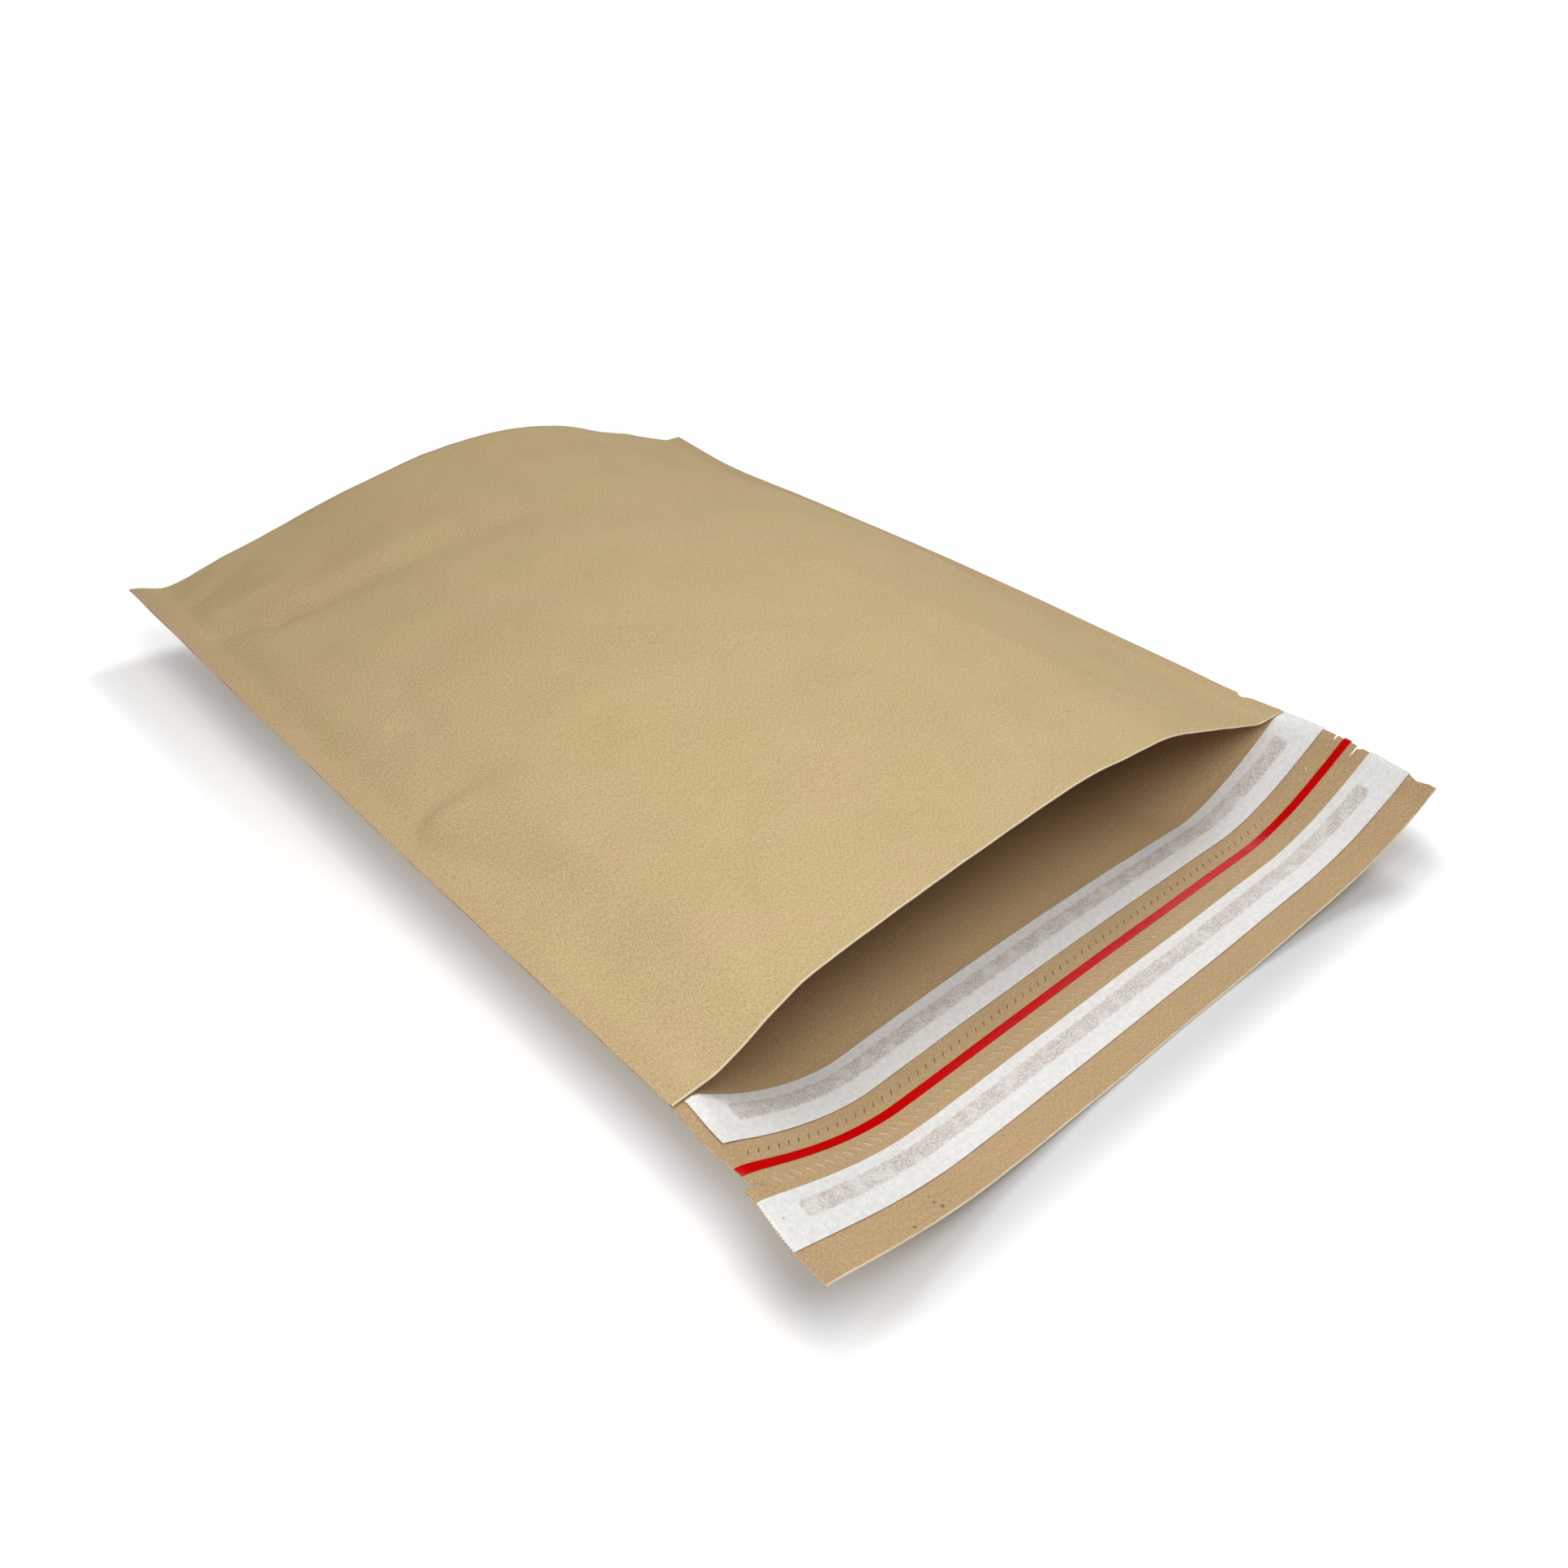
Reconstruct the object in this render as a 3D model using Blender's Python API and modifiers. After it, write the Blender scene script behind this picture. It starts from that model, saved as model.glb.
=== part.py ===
"""Kraft paper mailing bag with a peel-and-seal flap, open and puffed up.

The bag is one folded sheet of kraft paper: flap, back panel, bottom fold and front
panel, glued along both side seams. The flap carries two glue strips under white
release liners, with a red tear tape between them.
Metres, +Z up. The bag lies on its back panel. Its mouth and flap point to -Y, its
bottom fold to +Y, and the origin is at the middle of its outline, on the table.
"""
import math

import bmesh
import bpy
from mathutils import Vector

# Sheet and outline
BAG_WIDTH = 0.350
POCKET_LENGTH = 0.4386
FLAP_LENGTH = 0.0726
PAPER = 0.0005
SEAM_BAND = 0.008
SEAM_GLUE = 0.0002
SEAM_LINE_MARGIN = 0.001
SEAM_LINE_BITE = 0.00015
SEAM_LINE_ROWS = 12

# Form of the puffed bag
SEAM_HEIGHT = 0.036
FRONT_CREST = 0.0485
MOUTH_CREST = 0.0255
LEFT_CURL = 0.076
RIGHT_CURL = 0.066
FOLD_CURL_GROWTH = 0.060
FOLD_CURL_LENGTH = 0.35
MIDDLE_SECTION_AT = 0.45
CURL_POWER = 1.7
FOLD_PULL = 0.015
FOLD_REACH = 0.60
MOUTH_BOW = 0.006
SEAM_RELEASE = 0.024
LOOSE_START = 0.0045
EAR_WIDTH = 0.016
EAR_LENGTH = 0.050
EAR_DIP = 0.0035

# Strips on the flap, measured from the mouth line towards the tip
LINER_WIDTH = 0.0185
LINER = 0.0003
GLUE_WIDTH = 0.0065
GLUE = 0.0003
GLUE_INSET = 0.0045
GLUE_END = 0.012
INNER_LINER_START = 0.0004
OUTER_LINER_START = 0.0415
TAPE_START = 0.0286
TAPE_WIDTH = 0.0034
TAPE = 0.0003
LINER_LEFT_INSET = 0.0045
LINER_RAMP = 0.0012
STRIP_MARGIN = 0.001
SEAT = 0.0002

# Tear cuts at the flap's sides: side, distance from the mouth line, depth and width
TEAR_CUTS = (
    (-1, 0.0256, 0.0022, 0.0010),
    (-1, 0.0362, 0.0110, 0.0022),
    (1, 0.0256, 0.0060, 0.0010),
    (1, 0.0354, 0.0130, 0.0012),
    (1, 0.0392, 0.0028, 0.0040),
)
CUT_OVERRUN = 1.15
CUTTER_HEIGHT = 0.012

# Grid of the folded sheet
COLUMNS = 30
EDGE_CROWDING = 0.55
FLAP_ROWS = 18
BACK_ROWS = 11
FOLD_ROWS = 5
FRONT_ROWS = 22

# Section curves: (share of the width from the left edge, share of the crest height)
FAR_SECTION = ((0, 0), (0.045, 0), (0.15, 0.235), (0.28, 0.63), (0.42, 0.925), (0.55, 1.0),
               (0.66, 0.92), (0.80, 0.54), (0.90, 0.23), (0.945, 0.09), (0.975, 0), (1, 0))
MIDDLE_SECTION = ((0, 0), (0.024, 0), (0.06, 0.17), (0.15, 0.46), (0.30, 0.79), (0.50, 0.98),
                  (0.70, 0.90), (0.84, 0.61), (0.93, 0.26), (0.976, 0), (1, 0))
MOUTH_SECTION = ((0, 0), (0.047, 0), (0.076, 0.14), (0.13, 0.50), (0.195, 0.63), (0.33, 0.78),
                 (0.45, 0.90), (0.567, 1.0), (0.65, 0.95), (0.747, 0.84), (0.85, 0.41),
                 (0.91, 0.16), (0.955, 0), (1, 0))
# Trough of the flap's tip: share of the seam height
TIP_SECTION = ((0, 1.0), (0.08, 0.64), (0.137, 0.42), (0.196, 0.25), (0.26, 0.14), (0.32, 0.08),
               (0.42, 0.015), (0.53, 0), (0.65, 0.015), (0.75, 0.11), (0.83, 0.21), (0.905, 0.40),
               (0.97, 0.74), (1, 0.97))
# Sway of the cut side edges: (share of the sheet from tip to bottom fold, shift along X)
LEFT_SWAY = ((0, -0.0025), (0.028, -0.0024), (0.06, 0), (0.08, 0.003), (0.092, 0.0023), (0.118, 0.0022),
             (0.142, 0.003), (0.51, 0), (1, -0.001))
RIGHT_SWAY = ((0, 0), (0.04, 0.0015), (0.085, 0.004), (0.118, 0.0035), (0.142, 0.002), (0.18, 0), (0.25, 0.0005),
              (0.51, 0.0015), (0.746, -0.003), (0.883, -0.007), (1, -0.001))

# Placement worked out from the sizes above
SHEET_LENGTH = POCKET_LENGTH + FLAP_LENGTH
TIP_Y = -SHEET_LENGTH / 2
MOUTH_Y = TIP_Y + FLAP_LENGTH
FOLD_Y = SHEET_LENGTH / 2
BAND_HALF = PAPER + SEAM_GLUE / 2
BELLY_DEPTH = SEAM_HEIGHT - BAND_HALF

# Colours, linear
KRAFT = (0.50, 0.37, 0.21)
LINER_WHITE = (0.80, 0.78, 0.74)
GLUE_GREY = (0.50, 0.44, 0.38)
TAPE_RED = (0.52, 0.005, 0.005)


def remove_everything():
    for item in list(bpy.data.objects):
        bpy.data.objects.remove(item)


def make_collection(name):
    collection = bpy.data.collections.new(name)
    bpy.context.scene.collection.children.link(collection)
    return collection


def make_material(name, colour, roughness):
    material = bpy.data.materials.new(name)
    material.use_nodes = True
    shader = material.node_tree.nodes["Principled BSDF"]
    shader.inputs["Base Color"].default_value = (*colour, 1)
    shader.inputs["Roughness"].default_value = roughness
    shader.inputs["Metallic"].default_value = 0
    return material


def smooth_step(t):
    t = min(max(t, 0.0), 1.0)
    return t * t * (3 - 2 * t)


def mix(a, b, t):
    return a + (b - a) * t


def slope_at(points, i):
    before = points[max(i - 1, 0)]
    after = points[min(i + 1, len(points) - 1)]
    return (after[1] - before[1]) / (after[0] - before[0])


def smooth_through(points, t):
    """Value at t of a smooth curve through hand-set points."""
    t = min(max(t, points[0][0]), points[-1][0])
    i = max(k for k in range(len(points) - 1) if points[k][0] <= t)
    (t0, h0), (t1, h1) = points[i], points[i + 1]
    span = t1 - t0
    s = (t - t0) / span
    rise_in = slope_at(points, i) * span
    rise_out = slope_at(points, i + 1) * span
    cubic = (2 * s ** 3 - 3 * s ** 2 + 1) * h0 + (s ** 3 - 2 * s ** 2 + s) * rise_in
    return cubic + (3 * s ** 2 - 2 * s ** 3) * h1 + (s ** 3 - s ** 2) * rise_out


def side_edge(side, y):
    """X of the cut edge at plan position y; side is -1 for left and 1 for right."""
    share = (y - TIP_Y) / SHEET_LENGTH
    sway = LEFT_SWAY if side < 0 else RIGHT_SWAY
    return side * BAG_WIDTH / 2 + smooth_through(sway, share)


def ear_dip(u, y):
    """Dip of the bottom fold beside the left far corner, which stands up as an ear."""
    from_left = u * BAG_WIDTH
    across = smooth_step(from_left / EAR_WIDTH) * smooth_step((3 * EAR_WIDTH - from_left) / (2 * EAR_WIDTH))
    return EAR_DIP * across * smooth_step(1 - (FOLD_Y - y) / EAR_LENGTH)


def place(u, y, z):
    """Point of the sheet at share u of the width, at plan position y and height z."""
    return Vector((mix(side_edge(-1, y), side_edge(1, y), u), y, z - ear_dip(u, y)))


def bow(u):
    """How far the mouth and the flap's tip are drawn in, most in the middle."""
    return MOUTH_BOW * 4 * u * (1 - u)


def front_lift(u, along):
    """Height of the front panel over the seams; along is 0 at the fold, 1 at the mouth."""
    far = smooth_through(FAR_SECTION, u) * FRONT_CREST
    middle = smooth_through(MIDDLE_SECTION, u) * FRONT_CREST
    mouth = smooth_through(MOUTH_SECTION, u) * MOUTH_CREST
    if along < MIDDLE_SECTION_AT:
        lift = mix(far, middle, smooth_step(along / MIDDLE_SECTION_AT))
    else:
        past = (along - MIDDLE_SECTION_AT) / (1 - MIDDLE_SECTION_AT)
        lift = mix(middle, mouth, smooth_step(past))
    return max(lift, 0.0)


def back_drop(u, along, loose=False):
    """Depth of the back panel under the seams; along is 0 at the fold, 1 at the mouth.

    A loose edge curves softly from its very side, a glued one only past its seam band.
    """
    growth = FOLD_CURL_GROWTH * (1 - smooth_step(along / FOLD_CURL_LENGTH))
    from_left = u * BAG_WIDTH
    from_right = (1 - u) * BAG_WIDTH
    drop = BELLY_DEPTH
    for distance, reach in ((from_left, LEFT_CURL + growth), (from_right, RIGHT_CURL + growth)):
        run = distance ** 2 / (distance + LOOSE_START) if loose else max(distance - SEAM_BAND, 0.0)
        t = min(run / (reach - SEAM_BAND), 1.0)
        drop *= 1 - (1 - t) ** CURL_POWER
    return drop


def fold_height(u):
    return SEAM_HEIGHT + (front_lift(u, 0) - back_drop(u, 0)) / 2


def fold_line(u):
    """Plan position of the bottom fold, drawn in where the bag is thick."""
    thickness = front_lift(u, 0) + back_drop(u, 0)
    return FOLD_Y - FOLD_PULL * thickness / (FRONT_CREST + BELLY_DEPTH)


def front_height(u, along):
    return SEAM_HEIGHT + BAND_HALF + front_lift(u, along)


def back_height(u, along):
    return SEAM_HEIGHT - BAND_HALF - back_drop(u, along)


def tip_height(u):
    return max(smooth_through(TIP_SECTION, u) * (SEAM_HEIGHT - BAND_HALF), 0.0)


def flap_point(u, distance):
    """Outer face of the flap, at a distance from the mouth line towards the tip.

    Past the mouth nothing holds the seam band flat, so the paper curves from its very edge.
    """
    free = SEAM_HEIGHT - BAND_HALF - back_drop(u, 1, loose=True)
    height = mix(back_height(u, 1), free, smooth_step(distance / SEAM_RELEASE))
    share = distance / FLAP_LENGTH
    return place(u, mix(MOUTH_Y, TIP_Y, share) + bow(u), mix(height, tip_height(u), share))


def back_point(u, t):
    """Outer face of the back panel, from t = 0 at the mouth to 1 at the fold's curve."""
    drop = fold_height(u) - back_height(u, 0)
    y = mix(MOUTH_Y + bow(u), fold_line(u) - FOLD_REACH * drop, t)
    return place(u, y, back_height(u, 1 - t))


def front_point(u, t):
    """Outer face of the front panel, from t = 0 at the fold's curve to 1 at the mouth."""
    rise = front_height(u, 0) - fold_height(u)
    y = mix(fold_line(u) - FOLD_REACH * rise, MOUTH_Y + bow(u), t)
    return place(u, y, front_height(u, t))


def fold_point(u, angle):
    """Outer face round the fold: -90 degrees under it, 0 at its line, 90 above it."""
    edge = front_height(u, 0) if angle > 0 else back_height(u, 0)
    rise = abs(edge - fold_height(u))
    y = fold_line(u) - FOLD_REACH * rise * (1 - math.cos(angle))
    return place(u, y, fold_height(u) + rise * math.sin(angle))


def sheet_rows():
    """The sheet's rows in order: flap from its tip, back panel, fold, front panel."""
    rows = [lambda u, t=i / FLAP_ROWS: flap_point(u, FLAP_LENGTH * t) for i in range(FLAP_ROWS, -1, -1)]
    rows += [lambda u, t=i / BACK_ROWS: back_point(u, t) for i in range(1, BACK_ROWS + 1)]
    for i in range(1, 2 * FOLD_ROWS):
        angle = math.radians(90) * (i / FOLD_ROWS - 1)
        rows.append(lambda u, a=angle: fold_point(u, a))
    rows += [lambda u, t=i / FRONT_ROWS: front_point(u, t) for i in range(FRONT_ROWS + 1)]
    return rows


def sheet_columns():
    """Shares of the width: the seam bands, then closer together near them."""
    band = SEAM_BAND / BAG_WIDTH
    columns = [0.0, band / 2]
    for i in range(COLUMNS + 1):
        t = i / COLUMNS
        crowded = t - EDGE_CROWDING * math.sin(2 * math.pi * t) / (2 * math.pi)
        columns.append(mix(band, 1 - band, crowded))
    return columns + [1 - band / 2, 1.0]


def mapped_grid(name, columns, rows, material, collection):
    """A grid whose vertices are laid out by row functions of the column value."""
    mesh = bpy.data.meshes.new(name)
    grid = bmesh.new()
    bmesh.ops.create_grid(grid, x_segments=len(columns) - 1, y_segments=len(rows) - 1, size=0.5)
    for vertex in grid.verts:
        column = round((vertex.co.x + 0.5) * (len(columns) - 1))
        row = round((vertex.co.y + 0.5) * (len(rows) - 1))
        vertex.co = rows[row](columns[column])
    grid.normal_update()
    grid.to_mesh(mesh)
    grid.free()
    mesh.shade_smooth()
    mesh.materials.append(material)
    item = bpy.data.objects.new(name, mesh)
    collection.objects.link(item)
    return item


def thicken(item, thickness):
    """Gives the grid its thickness on the side that its faces point to."""
    solidify = item.modifiers.new("thickness", "SOLIDIFY")
    solidify.thickness = thickness
    solidify.offset = 1
    solidify.use_even_offset = True
    return item


def add_boolean(item, cutter, operation):
    boolean = item.modifiers.new(f"{operation.lower()} {cutter.name}", "BOOLEAN")
    boolean.operation = operation
    boolean.object = cutter
    boolean.solver = "EXACT"


def mark_as_cutter(item):
    item.hide_render = True
    item.display_type = "WIRE"
    return item


def seam_line(side, cutters, material):
    """Glue line that closes one side seam, reaching into both sheets."""
    margin = SEAM_LINE_MARGIN
    inner = SEAM_BAND - margin
    height = SEAM_GLUE + 2 * SEAM_LINE_BITE
    rows = []
    for i in range(SEAM_LINE_ROWS + 1):
        y = mix(MOUTH_Y + 2 * margin, FOLD_Y - 2 * margin, i / SEAM_LINE_ROWS)
        rows.append(lambda inset, y=y: Vector((side_edge(side, y) - side * inset, y,
                                               SEAM_HEIGHT - height / 2)))
    insets = (margin, inner) if side < 0 else (inner, margin)
    name = "left_seam_line" if side < 0 else "right_seam_line"
    line = mapped_grid(name, insets, rows, material, cutters)
    return mark_as_cutter(thicken(line, height))


def tear_cutter(index, cut, cutters, material):
    """Wedge that opens a tear cut in from the flap's side edge."""
    side, distance, depth, width = cut
    edge_u = 0.0 if side < 0 else 1.0
    edge = flap_point(edge_u, distance)
    inward = flap_point(edge_u - side * depth / BAG_WIDTH, distance)
    mesh = bpy.data.meshes.new(f"tear_cutter_{index}")
    wedge = bmesh.new()
    bmesh.ops.create_cone(wedge, cap_ends=True, segments=3, radius1=1, radius2=1, depth=1)
    reach = 1.5
    for vertex in wedge.verts:
        # a three-sided prism: its corner at +Y becomes the tip of the cut
        along = (1 - vertex.co.y) / reach
        across = vertex.co.x / math.cos(math.radians(30)) / 2
        base = inward.lerp(edge, along * CUT_OVERRUN)
        vertex.co = base + Vector((0, across * width * CUT_OVERRUN, vertex.co.z * CUTTER_HEIGHT))
    wedge.normal_update()
    bmesh.ops.recalc_face_normals(wedge, faces=wedge.faces[:])
    wedge.to_mesh(mesh)
    wedge.free()
    mesh.materials.append(material)
    cutter = bpy.data.objects.new(mesh.name, mesh)
    cutters.objects.link(cutter)
    return mark_as_cutter(cutter)


def build_bag(parts, cutters):
    kraft = make_material("kraft_paper", KRAFT, 0.85)
    bag = mapped_grid("kraft_bag", sheet_columns(), sheet_rows(), kraft, parts)
    thicken(bag, PAPER)
    for side in (-1, 1):
        add_boolean(bag, seam_line(side, cutters, kraft), "UNION")
    for index, cut in enumerate(TEAR_CUTS):
        add_boolean(bag, tear_cutter(index, cut, cutters, kraft), "DIFFERENCE")
    return bag


def flap_face(u, distance, lift):
    """Point over the flap's inner face, lifted off it square to the paper."""
    step = 0.001
    along = flap_point(u + step, distance) - flap_point(u - step, distance)
    down = flap_point(u, distance - step) - flap_point(u, distance + step)
    normal = along.cross(down).normalized()
    return flap_point(u, distance) + normal * (PAPER + lift)


def columns_between(first, last):
    """The sheet's columns between two shares of the width, none squeezed in at the ends."""
    gap = SEAM_BAND / BAG_WIDTH / 6
    inner = [u for u in sheet_columns() if first + gap < u < last - gap]
    return [first] + inner + [last]


def rows_between(span):
    """The distances of a span, with the sheet's own rows where they leave room."""
    gap = FLAP_LENGTH / FLAP_ROWS / 6
    rows = [FLAP_LENGTH * i / FLAP_ROWS for i in range(FLAP_ROWS + 1)]
    inner = [d for d in rows if span[0] < d < span[-1] and all(abs(d - own) > gap for own in span)]
    return sorted([*span, *inner])


def build_strip(name, span, ends, thickness, lift, material, parts):
    """Thin strip laid on the flap; span is along the flap, ends are shares of the width."""
    rows = [lambda u, d=d: flap_face(u, d, lift(u, d)) for d in reversed(rows_between(span))]
    strip = mapped_grid(name, columns_between(*ends), rows, material, parts)
    return thicken(strip, thickness)


def build_glue(name, liner_start, ends, parts, material):
    start = liner_start + GLUE_INSET
    return build_strip(name, (start, start + GLUE_WIDTH), ends, GLUE, lambda u, d: SEAT, material, parts)


def build_liner(name, start, ends, glue_ends, parts, material):
    """Release liner: flat on the paper at its edges, raised over its glue strip."""
    ramp = LINER_RAMP
    rise_length = 3 * ramp / BAG_WIDTH
    glue_start = start + GLUE_INSET
    glue_stop = glue_start + GLUE_WIDTH
    span = (start, glue_start - 2 * ramp, glue_start - ramp, glue_stop + ramp,
            glue_stop + 2 * ramp, start + LINER_WIDTH)

    def lift(u, distance):
        over_glue = glue_start - 1.5 * ramp < distance < glue_stop + 1.5 * ramp
        between_ends = glue_ends[0] - rise_length < u < glue_ends[1] + rise_length
        return 2 * SEAT + GLUE if over_glue and between_ends else SEAT

    return build_strip(name, span, ends, LINER, lift, material, parts)


def build_flap_strips(parts):
    liner = make_material("release_liner", LINER_WHITE, 0.55)
    glue = make_material("seal_glue", GLUE_GREY, 0.5)
    tape = make_material("tear_tape", TAPE_RED, 0.25)
    margin = STRIP_MARGIN / BAG_WIDTH
    glue_end = GLUE_END / BAG_WIDTH
    inner_left = LINER_LEFT_INSET / BAG_WIDTH
    for name, start, left in (("inner", INNER_LINER_START, inner_left), ("outer", OUTER_LINER_START, margin)):
        glue_ends = (left + glue_end, 1 - margin - glue_end)
        build_glue(f"{name}_glue_strip", start, glue_ends, parts, glue)
        build_liner(f"{name}_release_liner", start, (left, 1 - margin), glue_ends, parts, liner)
    build_strip("tear_tape", (TAPE_START, TAPE_START + TAPE_WIDTH), (margin, 1 - margin), TAPE,
                lambda u, d: SEAT, tape, parts)


def main():
    remove_everything()
    parts = make_collection("mailing_bag")
    cutters = make_collection("cutters")
    build_bag(parts, cutters)
    build_flap_strips(parts)


main()
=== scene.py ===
# %% [markdown]
# # An open kraft paper mailing bag
#
# The object is a mailing bag of brown kraft paper. It lies on its back panel, puffed up
# like a pillow, with its mouth open. A flap runs on from the back panel past the mouth.
# It carries two lines of glue under white release liners, and a red tear tape between
# two rows of small slits.
#
# A paper bag is one flat blank that a machine cuts, folds once and glues along its two
# sides. This file does the same: it cuts each blank flat, with its pinked edges, slits and
# tears, and only then bends it into its place. The bend comes from the same few section
# curves as the CAD model, so the paper lies where the solid bag lies.

import math

import bpy
import numpy as np
from mathutils import Matrix, Vector, geometry, noise


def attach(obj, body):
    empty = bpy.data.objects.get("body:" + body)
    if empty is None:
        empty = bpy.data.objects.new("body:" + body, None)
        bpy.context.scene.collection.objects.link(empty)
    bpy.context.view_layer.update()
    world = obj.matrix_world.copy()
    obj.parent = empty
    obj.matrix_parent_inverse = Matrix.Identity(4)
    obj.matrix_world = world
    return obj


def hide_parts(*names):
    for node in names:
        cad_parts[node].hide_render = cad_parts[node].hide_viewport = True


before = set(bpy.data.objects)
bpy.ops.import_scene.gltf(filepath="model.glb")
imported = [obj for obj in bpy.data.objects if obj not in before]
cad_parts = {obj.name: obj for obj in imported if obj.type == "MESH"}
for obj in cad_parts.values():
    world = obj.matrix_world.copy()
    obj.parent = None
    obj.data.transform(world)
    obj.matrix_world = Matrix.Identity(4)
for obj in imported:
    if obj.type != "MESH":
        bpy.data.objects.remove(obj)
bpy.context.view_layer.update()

# %% [markdown]
# ## The camera
#
# The photograph looks down on the bag from the left of its mouth. Its lens and its place
# were worked out from the corners of the sheet, so they are typed in here as numbers. The
# camera is given two directions, where it looks and what is up, and they fill its matrix.

# %% Camera
EYE = Vector((-0.3218, -0.3869, 0.3361))
LOOKS = Vector((0.55606, 0.59434, -0.58100)).normalized()
UP = Vector((0.37194, 0.44720, 0.81344)).normalized()
FOCAL_LENGTH = 29.07
SENSOR = 36.0


def make_camera():
    lens = bpy.data.cameras.new("camera")
    lens.lens = FOCAL_LENGTH
    lens.sensor_width = SENSOR
    lens.clip_start = 0.01
    camera = bpy.data.objects.new("camera", lens)
    bpy.context.scene.collection.objects.link(camera)
    right = LOOKS.cross(UP).normalized()
    true_up = right.cross(LOOKS)
    turn = Matrix((right, true_up, -LOOKS)).transposed()
    camera.matrix_world = Matrix.Translation(EYE) @ turn.to_4x4()
    bpy.context.scene.camera = camera
    return camera


camera = make_camera()
print("camera height", round(camera.location.z, 3), "m")

# %% [markdown]
# ## The form of the paper
#
# A sheet of paper bends but doesn't stretch. So its form is given by curves across the
# width at a few places, and by how they blend into each other along the bag. The numbers
# below are those of the CAD model: one set for the front panel at the bottom fold, one for
# its middle, one at the mouth, and one for the trough of the flap. Two more give the sway
# of the side edges, from the flap's tip to the fold.

# %% Sizes of the sheet
BAG_WIDTH = 0.350
POCKET_LENGTH = 0.4386
FLAP_LENGTH = 0.0726
PAPER = 0.0005
SEAM_BAND = 0.008
SEAM_GLUE = 0.0002
SEAM_HEIGHT = 0.036
FRONT_CREST = 0.0485
MOUTH_CREST = 0.0255
LEFT_CURL = 0.076
RIGHT_CURL = 0.066
FOLD_CURL_GROWTH = 0.060
FOLD_CURL_LENGTH = 0.35
MIDDLE_SECTION_AT = 0.45
CURL_POWER = 1.7
FOLD_PULL = 0.015
FOLD_REACH = 0.60
MOUTH_BOW = 0.006
SEAM_RELEASE = 0.024
LOOSE_START = 0.0045
EAR_WIDTH = 0.016
EAR_LENGTH = 0.050
EAR_DIP = 0.0035

FAR_SECTION = ((0, 0), (0.045, 0), (0.15, 0.235), (0.28, 0.63), (0.42, 0.925), (0.55, 1.0),
               (0.66, 0.92), (0.80, 0.54), (0.90, 0.23), (0.945, 0.09), (0.975, 0), (1, 0))
MIDDLE_SECTION = ((0, 0), (0.024, 0), (0.06, 0.17), (0.15, 0.46), (0.30, 0.79), (0.50, 0.98),
                  (0.70, 0.90), (0.84, 0.61), (0.93, 0.26), (0.976, 0), (1, 0))
MOUTH_SECTION = ((0, 0), (0.047, 0), (0.076, 0.14), (0.13, 0.50), (0.195, 0.63), (0.33, 0.78),
                 (0.45, 0.90), (0.567, 1.0), (0.65, 0.95), (0.747, 0.84), (0.85, 0.41),
                 (0.91, 0.16), (0.955, 0), (1, 0))
TIP_SECTION = ((0, 1.0), (0.08, 0.64), (0.137, 0.42), (0.196, 0.25), (0.26, 0.14), (0.32, 0.08),
               (0.42, 0.015), (0.53, 0), (0.65, 0.015), (0.75, 0.11), (0.83, 0.21), (0.905, 0.40),
               (0.97, 0.74), (1, 0.97))
LEFT_SWAY = ((0, -0.0025), (0.028, -0.0024), (0.06, 0), (0.08, 0.003), (0.092, 0.0023),
             (0.118, 0.0022), (0.142, 0.003), (0.51, 0), (1, -0.001))
RIGHT_SWAY = ((0, 0), (0.04, 0.0015), (0.085, 0.004), (0.118, 0.0035), (0.142, 0.002), (0.18, 0),
              (0.25, 0.0005), (0.51, 0.0015), (0.746, -0.003), (0.883, -0.007), (1, -0.001))

SHEET_LENGTH = POCKET_LENGTH + FLAP_LENGTH
TIP_Y = -SHEET_LENGTH / 2
MOUTH_Y = TIP_Y + FLAP_LENGTH
FOLD_Y = SHEET_LENGTH / 2
BAND_HALF = PAPER + SEAM_GLUE / 2
BELLY_DEPTH = SEAM_HEIGHT - BAND_HALF
print("sheet", BAG_WIDTH, "x", SHEET_LENGTH, "m, mouth at y", round(MOUTH_Y, 4))


# %% Curves through given points
def smooth_step(t):
    t = np.clip(t, 0.0, 1.0)
    return t * t * (3 - 2 * t)


def mix(a, b, t):
    return a + (b - a) * t


def curve_through(points):
    """A smooth curve through points, which takes an array of places."""
    at, value = np.array(points, float).T
    slope = np.gradient(value, at)
    slope[1:-1] = (value[2:] - value[:-2]) / (at[2:] - at[:-2])

    def curve(t):
        t = np.clip(t, at[0], at[-1])
        i = np.clip(np.searchsorted(at, t, side="right") - 1, 0, len(at) - 2)
        span = at[i + 1] - at[i]
        s = (t - at[i]) / span
        rise_in = slope[i] * span
        rise_out = slope[i + 1] * span
        cubic = (2 * s ** 3 - 3 * s ** 2 + 1) * value[i] + (s ** 3 - 2 * s ** 2 + s) * rise_in
        return cubic + (3 * s ** 2 - 2 * s ** 3) * value[i + 1] + (s ** 3 - s ** 2) * rise_out

    return curve


far_section = curve_through(FAR_SECTION)
middle_section = curve_through(MIDDLE_SECTION)
mouth_section = curve_through(MOUTH_SECTION)
tip_section = curve_through(TIP_SECTION)
left_sway = curve_through(LEFT_SWAY)
right_sway = curve_through(RIGHT_SWAY)
print("front crest at the middle", round(float(middle_section(np.array(0.5))) * FRONT_CREST, 4), "m")


# %% Plan of the sheet
def side_edges(y):
    """X of the left and the right cut edge at plan position y."""
    share = (y - TIP_Y) / SHEET_LENGTH
    return -BAG_WIDTH / 2 + left_sway(share), BAG_WIDTH / 2 + right_sway(share)


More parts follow.
